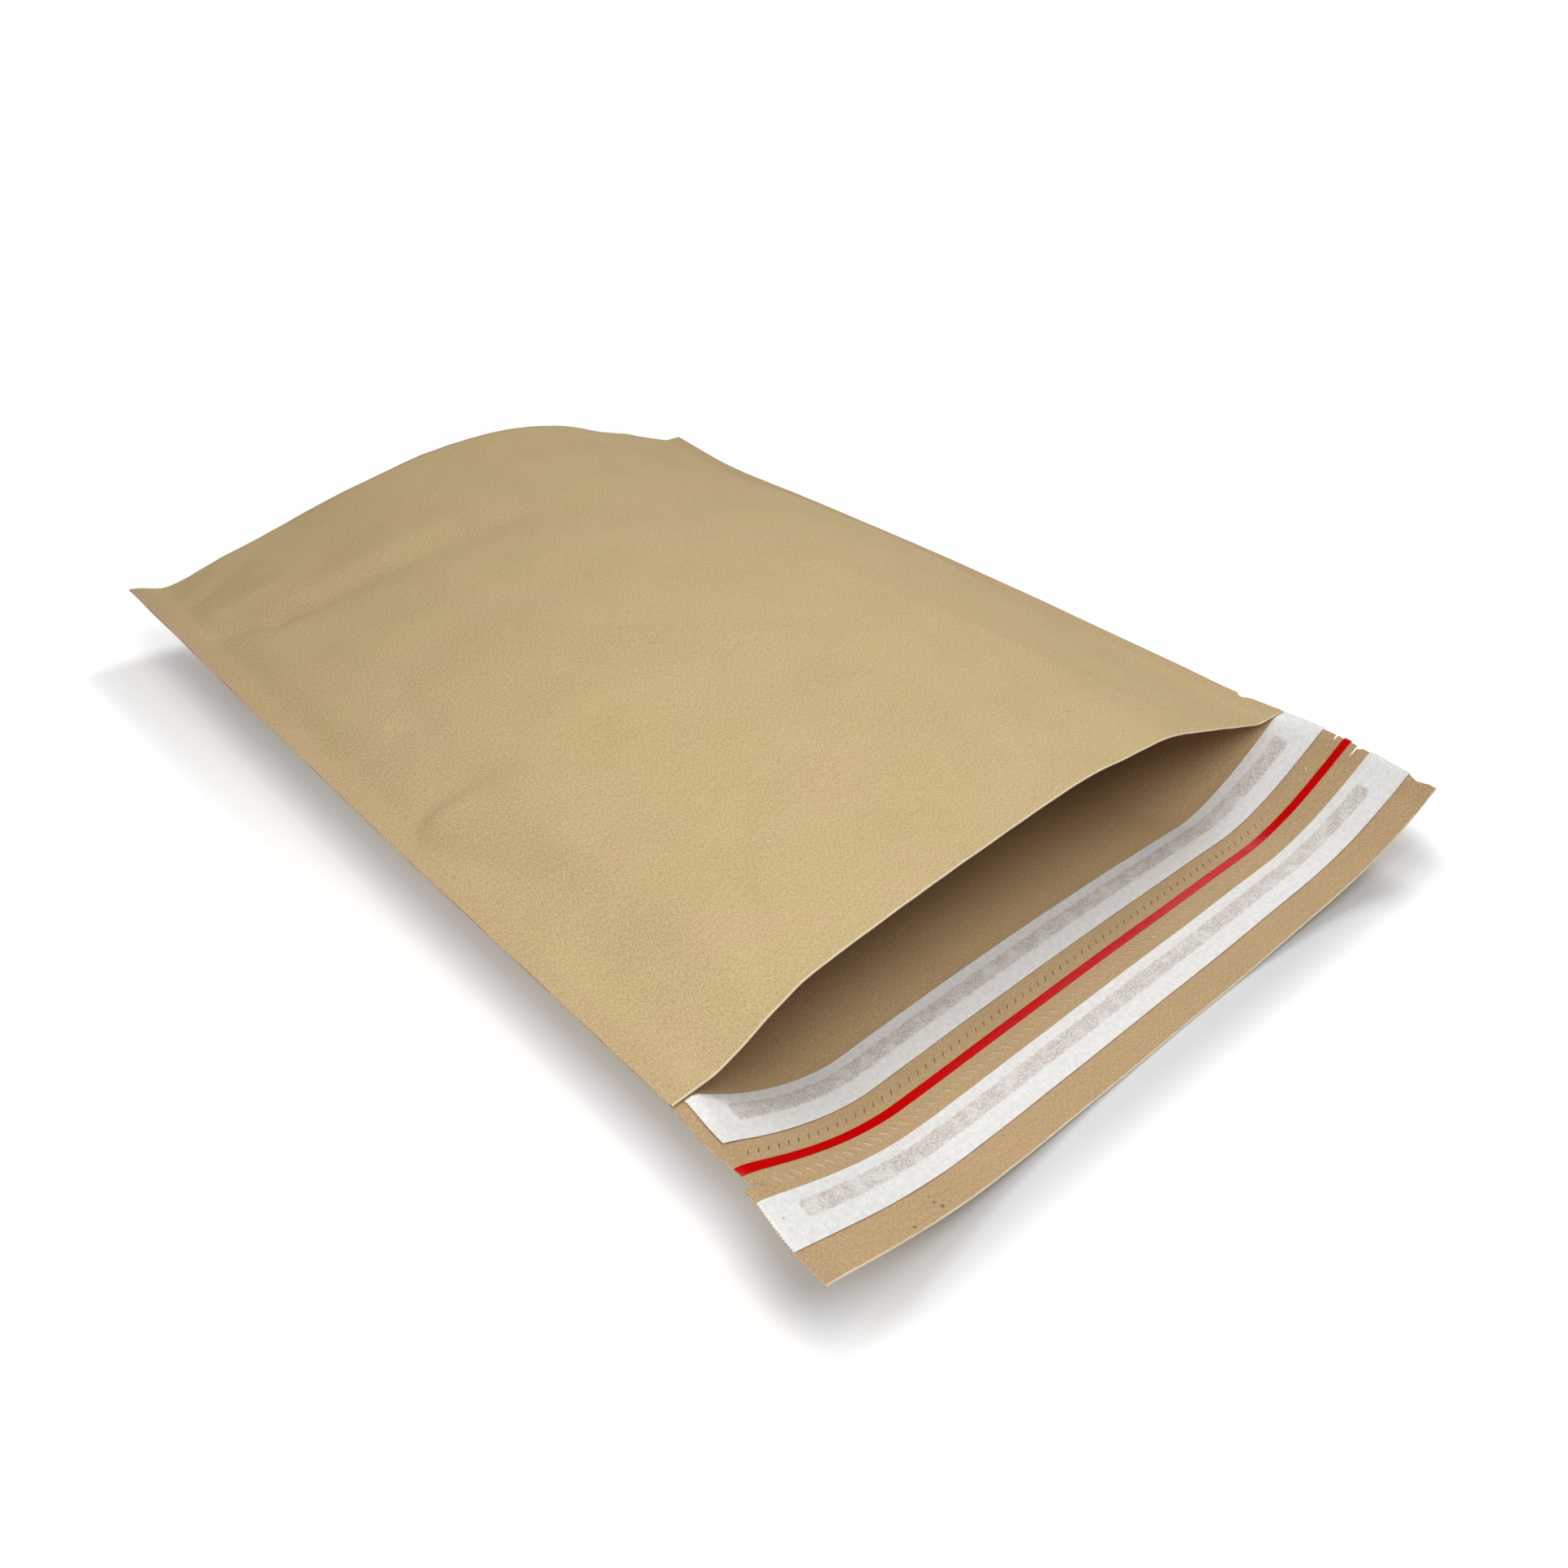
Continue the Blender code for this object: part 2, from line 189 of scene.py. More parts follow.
def ear_dip(u, y):
    """Dip of the bottom fold beside the left far corner, which stands up as an ear."""
    from_left = u * BAG_WIDTH
    rising = smooth_step(from_left / EAR_WIDTH)
    falling = smooth_step((3 * EAR_WIDTH - from_left) / (2 * EAR_WIDTH))
    return EAR_DIP * rising * falling * smooth_step(1 - (FOLD_Y - y) / EAR_LENGTH)


def place(u, y, z):
    left, right = side_edges(y)
    return np.stack([mix(left, right, u), y, z - ear_dip(u, y)], axis=-1)


def bow(u):
    """How far the mouth and the flap's tip are drawn in, most in the middle."""
    return MOUTH_BOW * 4 * u * (1 - u)


middle = np.array([0.5])
mouth_sides = [round(float(x), 4) for x in side_edges(MOUTH_Y)]
print("mouth drawn in by", bow(0.5), "m, its sides at x", mouth_sides)

# %% Heights of the panels
def front_lift(u, along):
    """Height of the front panel over the seams; along is 0 at the fold, 1 at the mouth."""
    far = far_section(u) * FRONT_CREST
    middle = middle_section(u) * FRONT_CREST
    mouth = mouth_section(u) * MOUTH_CREST
    first = mix(far, middle, smooth_step(along / MIDDLE_SECTION_AT))
    second = mix(middle, mouth, smooth_step((along - MIDDLE_SECTION_AT) / (1 - MIDDLE_SECTION_AT)))
    return np.maximum(np.where(along < MIDDLE_SECTION_AT, first, second), 0.0)


def back_drop(u, along, loose=False):
    """Depth of the back panel under the seams; along is 0 at the fold, 1 at the mouth.

    A loose edge curves softly from its very side, a glued one only past its seam band.
    """
    growth = FOLD_CURL_GROWTH * (1 - smooth_step(along / FOLD_CURL_LENGTH))
    drop = BELLY_DEPTH
    for distance, curl in ((u * BAG_WIDTH, LEFT_CURL), ((1 - u) * BAG_WIDTH, RIGHT_CURL)):
        glued = np.maximum(distance - SEAM_BAND, 0.0)
        run = distance ** 2 / (distance + LOOSE_START) if loose else glued
        t = np.minimum(run / (curl + growth - SEAM_BAND), 1.0)
        drop = drop * (1 - (1 - t) ** CURL_POWER)
    return drop


def front_height(u, along):
    return SEAM_HEIGHT + BAND_HALF + front_lift(u, along)


def back_height(u, along):
    return SEAM_HEIGHT - BAND_HALF - back_drop(u, along)


def fold_height(u):
    return SEAM_HEIGHT + (front_lift(u, 0.0) - back_drop(u, 0.0)) / 2


def fold_line(u):
    """Plan position of the bottom fold, drawn in where the bag is thick."""
    thickness = front_lift(u, 0.0) + back_drop(u, 0.0)
    return FOLD_Y - FOLD_PULL * thickness / (FRONT_CREST + BELLY_DEPTH)


print("height of the fold in the middle", fold_height(middle).round(4), "m")

# %% The surfaces of the panels
def front_point(u, t):
    """Front panel's outer face, from t = 0 at the fold's curve to 1 at the mouth."""
    rise = front_height(u, 0.0) - fold_height(u)
    y = mix(fold_line(u) - FOLD_REACH * rise, MOUTH_Y + bow(u), t)
    return place(u, y, front_height(u, t))


def back_point(u, t):
    """Back panel's outer face, from t = 0 at the mouth to 1 at the fold's curve."""
    drop = fold_height(u) - back_height(u, 0.0)
    y = mix(MOUTH_Y + bow(u), fold_line(u) - FOLD_REACH * drop, t)
    return place(u, y, back_height(u, 1 - t))


def fold_point(u, angle):
    """Outer face round the fold: -90 degrees under it, 0 at its line, 90 above it."""
    edge = np.where(angle > 0, front_height(u, 0.0), back_height(u, 0.0))
    rise = np.abs(edge - fold_height(u))
    y = fold_line(u) - FOLD_REACH * rise * (1 - np.cos(angle))
    return place(u, y, fold_height(u) + rise * np.sin(angle))


def flap_point(u, distance):
    """Flap's outer face, at a distance from the mouth line towards the tip.

    Past the mouth nothing holds the seam band flat, so the paper curves from its very edge.
    """
    free = SEAM_HEIGHT - BAND_HALF - back_drop(u, 1.0, loose=True)
    height = mix(back_height(u, 1.0), free, smooth_step(distance / SEAM_RELEASE))
    tip = np.maximum(tip_section(u) * (SEAM_HEIGHT - BAND_HALF), 0.0)
    share = distance / FLAP_LENGTH
    return place(u, mix(MOUTH_Y, TIP_Y, share) + bow(u), mix(height, tip, share))


print("crest of the fold's top", front_point(middle, 0.0 * middle)[0].round(4))

# %% [markdown]
# ## One long sheet
#
# On the flat blank a place has two numbers: how far it is across, as a share u of the
# width, and how far it is along, as a length s from the flap's tip. The next cell strings
# the panels together on s, so one function gives the place in space of any point of the
# blank. Small dents and creases are added to it as heights square to the paper.

# %% From the flat blank to its place in space
PANEL_RUN = 0.392
FOLD_GIRTH = 0.107
BACK_START = FLAP_LENGTH
FOLD_START = BACK_START + PANEL_RUN
FRONT_START = FOLD_START + FOLD_GIRTH
BLANK_LENGTH = FRONT_START + PANEL_RUN


def bare_sheet_point(u, s):
    """Outer face of the sheet before creases: u across, s along from the flap's tip."""
    flap = flap_point(u, FLAP_LENGTH - np.clip(s, 0, FLAP_LENGTH))
    back = back_point(u, np.clip((s - BACK_START) / PANEL_RUN, 0, 1))
    turn = np.clip((s - FOLD_START) / FOLD_GIRTH, 0, 1)
    fold = fold_point(u, (turn - 0.5) * math.pi)
    front = front_point(u, np.clip((s - FRONT_START) / PANEL_RUN, 0, 1))
    zone = np.searchsorted((BACK_START, FOLD_START, FRONT_START), s, side="right")[..., None]
    return np.select([zone == 0, zone == 1, zone == 2], [flap, back, fold], front)


def inward_normal(u, s):
    """Direction from the outer face to the inner face of the paper."""
    step_u, step_s = 0.002, 0.0007
    low = np.clip(s, step_s, BLANK_LENGTH - step_s)
    across = bare_sheet_point(u + step_u, low) - bare_sheet_point(u - step_u, low)
    along = bare_sheet_point(u, low + step_s) - bare_sheet_point(u, low - step_s)
    normal = np.cross(across, along)
    return normal / np.linalg.norm(normal, axis=-1, keepdims=True)


ends = bare_sheet_point(np.array([0.5, 0.5]), np.array([0.0, BLANK_LENGTH]))
print("blank", round(BLANK_LENGTH, 4), "m long, tip at", ends[0].round(4), "mouth at", ends[1].round(4))

# %% Slits beside the tear tape
SLIT_PITCH = 0.0045
SLIT_START = 0.0085
SLIT_ROW_SHIFT = 0.0022
SLIT_JITTER = 0.0003
# distance from the mouth line of a slit's two ends, slant across, rise of its lip, gap width
SLIT_ROWS = ((0.0229, 0.0254, -0.0020, 0.00029, 0.00014), (0.0348, 0.0385, 0.0042, 0.00040, 0.00007))
# distances from the mouth line between which the slits gape and show walls dark with painted shade
SLIT_DEEP = ((0.0229, 0.0257), (0.0348, 0.0358))


def slit_starts(first):
    """Places across the flap where the slits of a row start; the row by the mouth is shifted."""
    count = int((BAG_WIDTH - 2 * SLIT_START) / SLIT_PITCH)
    shift = SLIT_ROW_SHIFT if first == SLIT_ROWS[0][0] else 0.0
    places = [SLIT_START + shift + i * SLIT_PITCH for i in range(count - 1)]
    return [x + SLIT_JITTER * noise.noise((x * 700, first * 900, 2.0)) for x in places]


print("slits", sum(len(slit_starts(row[0])) for row in SLIT_ROWS))

# %% [markdown]
# ## Creases and cockles
#
# A bag that has been filled and handled has soft dents where the paper gave way. Each dent
# or ridge here is a line between two places on the front panel. It has a height, which is
# negative for a valley, and a width over which it fades. Such a list is easy to read and to
# change. Under the creases the whole sheet cockles a little, as paper does when it dries:
# slow noise, kept off the glued seams so that both layers stay together there.

# %% Creases of the front panel
# start (u, t), end (u, t), height in mm, half width in mm at start and at end
FRONT_CREASES = (
    ((0.120, 0.205), (0.425, 0.235), -2.4, 7.0, 15.0),
    ((0.130, 0.165), (0.400, 0.175), 1.0, 9.0, 12.0),
    ((0.006, 0.158), (0.108, 0.202), -2.4, 2.0, 5.0),
    ((0.020, 0.130), (0.160, 0.120), 1.6, 5.0, 12.0),
    ((0.023, 0.095), (0.120, 0.040), -1.4, 5.0, 9.0),
    ((0.020, 0.190), (0.075, 0.240), 1.4, 4.0, 8.0),
    ((0.030, 0.621), (0.082, 0.634), 1.4, 1.4, 5.0),
    ((0.036, 0.628), (0.125, 0.655), 2.6, 6.0, 15.0),
    ((0.024, 0.600), (0.095, 0.610), -0.6, 3.0, 7.0),
    ((0.020, 0.640), (0.075, 0.745), -1.6, 3.0, 8.0),
    ((0.055, 0.600), (0.100, 0.612), -1.2, 5.0, 8.0),
    ((0.026, 0.445), (0.078, 0.482), 1.1, 2.6, 5.0),
    ((0.022, 0.470), (0.070, 0.510), -0.9, 3.0, 6.0),
    ((0.130, 0.440), (0.095, 0.565), -1.3, 9.0, 12.0),
    ((0.262, 0.625), (0.335, 0.652), -0.9, 6.0, 7.0),
    ((0.205, 0.890), (0.130, 0.990), -1.5, 5.0, 7.0),
    ((0.030, 0.945), (0.060, 0.985), 0.9, 4.0, 6.0),
    ((0.605, 0.220), (0.650, 0.560), 0.8, 9.0, 8.0),
    ((0.650, 0.560), (0.815, 0.960), 0.9, 8.0, 6.0),
    ((0.494, 0.795), (0.509, 0.861), 0.16, 1.3, 1.3),
    ((0.483, 0.804), (0.518, 0.797), 0.16, 1.2, 1.2),
    ((0.940, 0.300), (0.975, 0.315), 1.0, 4.0, 7.0),
    ((0.930, 0.480), (0.972, 0.470), -0.9, 4.0, 7.0),
    ((0.945, 0.700), (0.972, 0.715), 0.9, 4.0, 7.0),
)


def crease_height(u, t, start, end, height, half_start, half_end):
    """Height of one crease, for arrays of places on the front panel."""
    size = np.array([BAG_WIDTH, PANEL_RUN])
    here = np.stack([u, t], axis=-1) * size
    a, b = np.array(start) * size, np.array(end) * size
    length = np.linalg.norm(b - a)
    way = (b - a) / length
    along = (here - a) @ way / length
    off = np.abs((here - a) @ np.array([-way[1], way[0]]))
    half = mix(half_start, half_end, np.clip(along, 0, 1)) / 1000
    past_end = np.maximum(np.maximum(-along, along - 1), 0) * length
    distance = np.hypot(off, past_end) / half
    return height / 1000 * np.exp(-distance ** 1.5)


print("creases", len(FRONT_CREASES))

# %% Cockles, lips of the slits and the gap at the corner
SEAM_FADE = 0.012
LIP_REACH = 0.0016
LIP_FADE = 0.0007
GAP_RISE, GAP_DEPTH, GAP_WIDTH = 0.0009, 0.0024, 0.022
GAP_FULL_TO = 0.010


def off_seams(u):
    """0 in the glued seam bands, 1 from a little further in."""
    from_edge = np.minimum(u, 1 - u) * BAG_WIDTH
    return smooth_step((from_edge - SEAM_BAND) / SEAM_FADE)


def slow_noise(u, s, size, seed):
    """Smooth noise on the blank, about -1 to 1, with bumps about size metres across."""
    x, y = u * BAG_WIDTH / size, s / size
    return np.array([noise.noise((float(a), float(b), seed)) for a, b in zip(x, y)])


def slit_lips(u, s):
    """Rise of the paper beside the slits, each on one side only, as a cut sheet springs open."""
    lift = 0.0 * u
    near = np.flatnonzero(s < FLAP_LENGTH - 0.020)
    x, d = u[near] * BAG_WIDTH, FLAP_LENGTH - s[near]
    for first, last, slant, lip, _ in SLIT_ROWS:
        length = math.hypot(slant, last - first)
        for start in slit_starts(first):
            along = ((x - start) * slant + (d - first) * (last - first)) / length
            off = ((x - start) * (last - first) - (d - first) * slant) / length
            beside = (off > 0) & (off < LIP_REACH) & (along > 0) & (along < length)
            rise = lip * np.sin(math.pi * along / length) * np.exp(-(off / LIP_FADE) ** 2)
            lift[near] += np.where(beside, rise, 0.0)
    return lift


def corner_gap(u, s):
    """The front panel's edge stands a little off the back panel at the mouth's left corner."""
    off_edge = (BLANK_LENGTH - s) / GAP_DEPTH
    across = 1 - smooth_step((u * BAG_WIDTH - GAP_FULL_TO) / GAP_WIDTH)
    return GAP_RISE * np.exp(-off_edge ** 2) * across


grid_u, grid_s = np.meshgrid(np.linspace(0.4, 0.6, 90), np.linspace(0.0, FLAP_LENGTH, 200))
print("highest lip", round(slit_lips(grid_u.ravel(), grid_s.ravel()).max() * 1000, 2), "mm")

# %% The creased sheet
# height, size and seed of each noise that the sheet cockles with
COCKLES = ((0.0007, 0.034, 3.1), (0.00026, 0.011, 7.7))


def relief(u, s):
    """Height of creases and cockles over the bare sheet, outwards."""
    t = (s - FRONT_START) / PANEL_RUN
    on_front = smooth_step((t + 0.03) / 0.05)
    on_flap = s < FLAP_LENGTH + 0.004
    height = 0.0 * u
    for crease in FRONT_CREASES:
        height += crease_height(u, t, *crease)
    cockle = sum(rise * slow_noise(u, s, size, seed) for rise, size, seed in COCKLES)
    cockle = np.where(on_flap, 0.0, cockle)
    return off_seams(u) * (on_front * height + cockle) + corner_gap(u, s) - slit_lips(u, s)


def sheet_point(u, s, lift=0.0):
    """Place in space of a point of the blank; lift is measured inwards from the outer face."""
    u, s = np.asarray(u, float), np.asarray(s, float)
    point = bare_sheet_point(u, s) + inward_normal(u, s) * (lift - relief(u, s))[..., None]
    point[..., 2] = np.maximum(point[..., 2], 0.0)
    return point


sample = np.linspace(0.05, 0.95, 40)
heights = relief(sample, 0 * sample + FRONT_START + 0.08)
print("relief on the front panel, mm", (heights.round(6) * 1000)[::8])

# %% [markdown]
# ## Cutting a blank
#
# A die cuts the blank out of flat paper. Here the outline and the slits are drawn as closed
# loops, a grid of points fills the inside, and a constrained Delaunay triangulation joins
# them. It keeps every drawn line as an edge, and a loop inside the outline becomes a hole. So
# a small tooth of a pinked side or a slit a tenth of a millimetre wide is really cut. Boolean
# cutters could do it too, but they are slow in hundreds and leave long thin faces.

# %% A cutter for flat blanks
def far_from(points, lines, gap):
    """Mask of the points that lie further than gap from every point of the lines."""
    cells = {}
    for x, y in lines:
        cells.setdefault((int(x // gap), int(y // gap)), []).append((x, y))
    keep = []
    for x, y in points:
        i, j = int(x // gap), int(y // gap)
        near = [q for a in (i - 1, i, i + 1) for b in (j - 1, j, j + 1) for q in cells.get((a, b), ())]
        keep.append(all((x - a) ** 2 + (y - b) ** 2 > gap * gap for a, b in near))
    return np.array(keep)


def cut_blank(outline, holes, fill, gap, fine=()):
    """Triangles of a flat blank: its corner points in metres, and the triples that join them.

    The fill keeps a gap from the loops and from the fine points, which are all kept.
    """
    loops = [outline] + holes
    points = [tuple(p) for loop in loops for p in loop]
    rings = []
    first = 0
    for loop in loops:
        rings.append(list(range(first, first + len(loop))))
        first += len(loop)
    points += list(fine)
    fill = [tuple(p) for p in np.asarray(fill)[far_from(fill, points, gap)]]
    flat = [Vector(p) for p in points + fill]
    verts, _, faces, _, _, _ = geometry.delaunay_2d_cdt(flat, [], rings, 2, 1e-7)
    return np.array([tuple(v) for v in verts]), [tuple(f) for f in faces]


def grid_points(x0, x1, y0, y1, spacing):
    xs = np.linspace(x0, x1, max(2, round((x1 - x0) / spacing) + 1))
    ys = np.linspace(y0, y1, max(2, round((y1 - y0) / spacing) + 1))
    return [(float(x), float(y)) for y in ys for x in xs]


trial = cut_blank([(0, 0), (1, 0), (1, 1), (0, 1)], [[(0.4, 0.4), (0.6, 0.4), (0.5, 0.6)]],
                  grid_points(0.1, 0.9, 0.1, 0.9, 0.2), 0.05)
print("trial blank", len(trial[0]), "points,", len(trial[1]), "triangles")

# %% [markdown]
# ## Outline, tears and slits of the bag's blank
#
# The long sides are cut by a toothed knife, so they are finely pinked. The flap has torn a
# little at its ends, where a pull on the tape starts: these are narrow wedges in from the
# side. Beside the tape run two rows of slits, which let the flap tear along it.

# %% Outline of the bag's blank
TOOTH_PITCH = 0.00115
TOOTH_DEPTH = 0.00022
SIDE_WANDER = 0.00025
TIP_WANDER = 0.00015
TEAR_MARGIN = 0.0003
END_STEP = 0.0025
# torn places of the sides: side, then points (distance from the mouth line, depth in), in mm
FLAP_TEARS = (
    (-1, (23.6, 0.0), (25.1, 0.5), (25.9, 0.5), (26.4, 0.0), (26.9, -0.3), (27.8, 0.0), (28.7, 0.5)),
    (-1, (32.4, 0.2), (34.6, 0.0), (35.0, 0.4), (35.5, 2.0), (36.0, 4.6), (38.6, 7.2), (36.3, 4.2),
     (36.5, 2.3), (36.5, 0.6), (36.0, -0.4), (36.4, -1.6), (37.6, -1.1), (38.8, -1.0), (41.5, 0.0)),
    (1, (24.7, 0.1), (25.4, 3.3), (25.6, 0.0)),
    (1, (35.1, 0.0), (35.0, 7.0), (35.9, 1.3), (37.0, 0.9), (38.3, 0.0)),
    (1, (60.6, 0.0), (62.0, 0.6), (64.5, 1.1), (67.0, 0.6), (69.5, 0.0)),
)
# the same for a chip out of both panels beside the right corner of the mouth
MOUTH_CHIP = ((13.0, 0.0), (15.2, 0.7), (17.3, 2.4), (19.0, 1.6), (20.3, 0.0))


def torn_places():
    """All torn places as (side, points (x inwards, s) in metres, in rising s)."""
    places = []
    for side, *points in FLAP_TEARS:
        places.append((side, [(depth / 1000, FLAP_LENGTH - d / 1000) for d, depth in reversed(points)]))
    chip = [(depth / 1000, d / 1000) for d, depth in MOUTH_CHIP]
    places.append((1, [(depth, FLAP_LENGTH + d) for depth, d in chip]))
    places.append((1, [(depth, BLANK_LENGTH - d) for depth, d in reversed(chip)]))
    return places


def pinked(s, side, seed):
    """Outward offset of a pinked edge at length s along it."""
    tooth = abs((s / TOOTH_PITCH) % 1 - 0.5) * 2
    uneven = 0.7 + 0.3 * noise.noise((s * 900, side * 3.0, seed))
    wander = SIDE_WANDER * noise.noise((s * 60, side * 5.0, seed))
    return TOOTH_DEPTH * (tooth - 0.5) * uneven + wander


def long_side(side):
    """Points of one long side, from the flap's tip to the front panel's mouth edge."""
    edge = 0.0 if side < 0 else BAG_WIDTH
    torn = [points for torn_side, points in torn_places() if torn_side == side]
    torn.sort(key=lambda points: points[0][1])
    count = round(BLANK_LENGTH / (TOOTH_PITCH / 2))
    places = [BLANK_LENGTH * i / count for i in range(count + 1)]
    line = []
    while places or torn:
        if torn and (not places or places[0] >= torn[0][0][1] - TEAR_MARGIN):
            points = torn.pop(0)
            line += [(edge - side * depth, s) for depth, s in points]
            places = [s for s in places if s > points[-1][1] + TEAR_MARGIN]
        else:
            s = places.pop(0)
            line.append((edge + side * pinked(s, side, 1.7), s))
    return line


def bag_outline():
    left = long_side(-1)
    right = long_side(1)
    count = round(BAG_WIDTH / END_STEP)
    across = [BAG_WIDTH * i / count for i in range(1, count)]
    mouth = [(x, BLANK_LENGTH) for x in across]
    tip = [(x, TIP_WANDER * noise.noise((x * 40, 0, 9.0))) for x in across]
    return tip + right + mouth[::-1] + left[::-1]


outline = bag_outline()
print("outline", len(outline), "points")

# %% Loops of the slits
FINE_PLACES = (0.0, 0.17, 0.34, 0.5, 0.66, 0.83, 1.0)
FINE_GAPS = (0.0005, 0.0009, 0.0014)


def slits():
    """Each slit as a slim loop of six points, and finer fill points on both sides of it."""
    loops = []
    fine = []
    for first, last, slant, _, width in SLIT_ROWS:
        for start in slit_starts(first):
            a = Vector((start, FLAP_LENGTH - first))
            b = Vector((start + slant, FLAP_LENGTH - last))
            side = (b - a).orthogonal().normalized()
            wide = side * width / 2
            thirds = [a.lerp(b, t) for t in (0.3, 0.7)]
            loops.append([tuple(p) for p in (a, thirds[0] + wide, thirds[1] + wide, b,
                                             thirds[1] - wide, thirds[0] - wide)])
            for t in FINE_PLACES:
                for gap in FINE_GAPS:
                    fine += [tuple(a.lerp(b, t) + side * gap), tuple(a.lerp(b, t) - side * gap)]
    return loops, fine


slit_loops, slit_fill = slits()
print("slit loops", len(slit_loops), "with", len(slit_fill), "fill points")

# %% [markdown]
# ## Bending the blank into the bag
#
# The fill is finer where the camera looks closely, at the flap and the front panel, and
# coarse on the back. Every point of the blank is then carried to its place by the sheet
# function. A Solidify modifier gives the paper its thickness. Its rim gets a material of its
# own, because cut kraft shows paler fibres than its smooth face. The walls of the slits are
# part of that rim. Where a slit gapes they get a dark finish, a painted shade of the gap, and
# on its lip a pale one, pale cut fibres with a painted highlight.

# %% From a flat blank to a piece
# material slots of the bag; Solidify counts on from the face that the blank was made with
INSIDE, OUTSIDE, RIM, SLIT_WALL_PAINTED_SHADE, SLIT_LIP_PALE_AND_HIGHLIGHT = range(5)
SMOOTH_ANGLE = math.radians(40)


def apply_modifiers(piece):
    depsgraph = bpy.context.evaluated_depsgraph_get()
    mesh = bpy.data.meshes.new_from_object(piece.evaluated_get(depsgraph))
    piece.modifiers.clear()
    piece.data = mesh
    mesh.name = piece.name
    mesh.shade_smooth()
    mesh.set_sharp_from_angle(angle=SMOOTH_ANGLE)


def mesh_piece(name, flat, faces, lift, thickness, materials):
    """Bends a flat blank into place as a new object; its UV map keeps the flat places."""
    mesh = bpy.data.meshes.new(name)
    u, s = flat[:, 0] / BAG_WIDTH, flat[:, 1]
    mesh.from_pydata(sheet_point(u, s, lift(u, s)).tolist(), [], faces)
    layer = mesh.uv_layers.new(name="sheet")
    corners = np.empty(len(mesh.loops), dtype=np.int32)
    mesh.loops.foreach_get("vertex_index", corners)
    layer.uv.foreach_set("vector", flat[corners].astype(np.float32).ravel())
    for material in materials:
        mesh.materials.append(material)
    piece = bpy.data.objects.new(name, mesh)
    bpy.context.scene.collection.objects.link(piece)
    solidify = piece.modifiers.new("thickness", "SOLIDIFY")
    solidify.thickness = thickness
    solidify.offset = 1
    solidify.use_even_offset = True
    if len(materials) > 1:
        solidify.material_offset = OUTSIDE
        solidify.material_offset_rim = RIM
    apply_modifiers(piece)
    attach(piece, "root")
    return piece


def count_triangles(piece):
    return sum(len(face.vertices) - 2 for face in piece.data.polygons)


print("material slots of the bag", SLIT_LIP_PALE_AND_HIGHLIGHT + 1)

# %% The paper bag
FILL_MARGIN = 0.0012
FILL_GAP = 0.0008
# stretches of the blank: from, to, spacing of the fill
FILL_ZONES = (
    (FILL_MARGIN, FLAP_LENGTH - 0.0006, 0.0018),
    (FLAP_LENGTH + 0.0009, FLAP_LENGTH + 0.070, 0.0032),
    (FLAP_LENGTH + 0.075, FOLD_START - 0.004, 0.0062),
    (FOLD_START, BLANK_LENGTH - FILL_MARGIN, 0.00265),
)
WALL_MARGIN = 0.0003
ROW_END = 0.0078


def fill_of_bag():
    points = []
    for low, high, spacing in FILL_ZONES:
        points += grid_points(FILL_MARGIN, BAG_WIDTH - FILL_MARGIN, low, high, spacing)
    return points


def finish_slit_walls(piece):
    """Gives the slits' walls materials of their own: a painted shade where they gape, pale cut fibres
    with a painted highlight on the lips.
    """
    layer = piece.data.uv_layers["sheet"].uv
    for face in piece.data.polygons:
        if face.material_index != RIM:
            continue
        x, s = layer[face.loop_start].vector
        d = FLAP_LENGTH - s
        in_rows = any(row[0] - WALL_MARGIN < d < row[1] + WALL_MARGIN for row in SLIT_ROWS)
        if in_rows and ROW_END < x < BAG_WIDTH - ROW_END:
            gapes = any(first - WALL_MARGIN < d < last for first, last in SLIT_DEEP)
            # gaping walls get a painted shade, lips pale fibres with a painted highlight
            face.material_index = SLIT_WALL_PAINTED_SHADE if gapes else SLIT_LIP_PALE_AND_HIGHLIGHT


kraft_names = ("kraft_inside", "kraft_paper", "cut_kraft_edge", "slit_wall_painted_shade", "slit_lip")
krafts = [bpy.data.materials.new(name) for name in kraft_names]
flat, faces = cut_blank(outline, slit_loops, fill_of_bag(), FILL_GAP, slit_fill)
bag = mesh_piece("paper_bag", flat, faces, lambda u, s: 0.0, PAPER, krafts)
finish_slit_walls(bag)
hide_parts("kraft_bag")
print("paper bag", len(flat), "points on the blank,", count_triangles(bag), "triangles")
print("faces of slit walls", sum(face.material_index == SLIT_WALL_PAINTED_SHADE for face in bag.data.polygons))

# %% [markdown]
# ## Strips on the flap
#
# Each glue line is a thin raised ribbon. Its release liner is smooth white paper, wider than
# the glue, with pinked ends. It lies on the kraft at its edges and rises over the glue. The
# tear tape is a narrow flat film. All of them are blanks too, cut in the same flat measure
# and carried by the same sheet function, a hair above the paper.

# %% A strip across the flap
FILL_SHARE = 0.35


def strip_outline(x0, x1, near, far, step, tooth):
    """Outline of a strip across the flap; its two short ends are pinked."""
    low, high = FLAP_LENGTH - far, FLAP_LENGTH - near
    count = round((x1 - x0) / step)
    across = [mix(x0, x1, i / count) for i in range(1, count)]
    rows = max(2, round((high - low) / (TOOTH_PITCH / 2)))
    ends = [mix(low, high, i / rows) for i in range(rows + 1)]
    right = [(x1 + tooth * (i % 2), s) for i, s in enumerate(ends)]
    left = [(x0 - tooth * (i % 2), s) for i, s in enumerate(ends)]
    return [(x, low) for x in across] + right + [(x, high) for x in reversed(across)] + left[::-1]


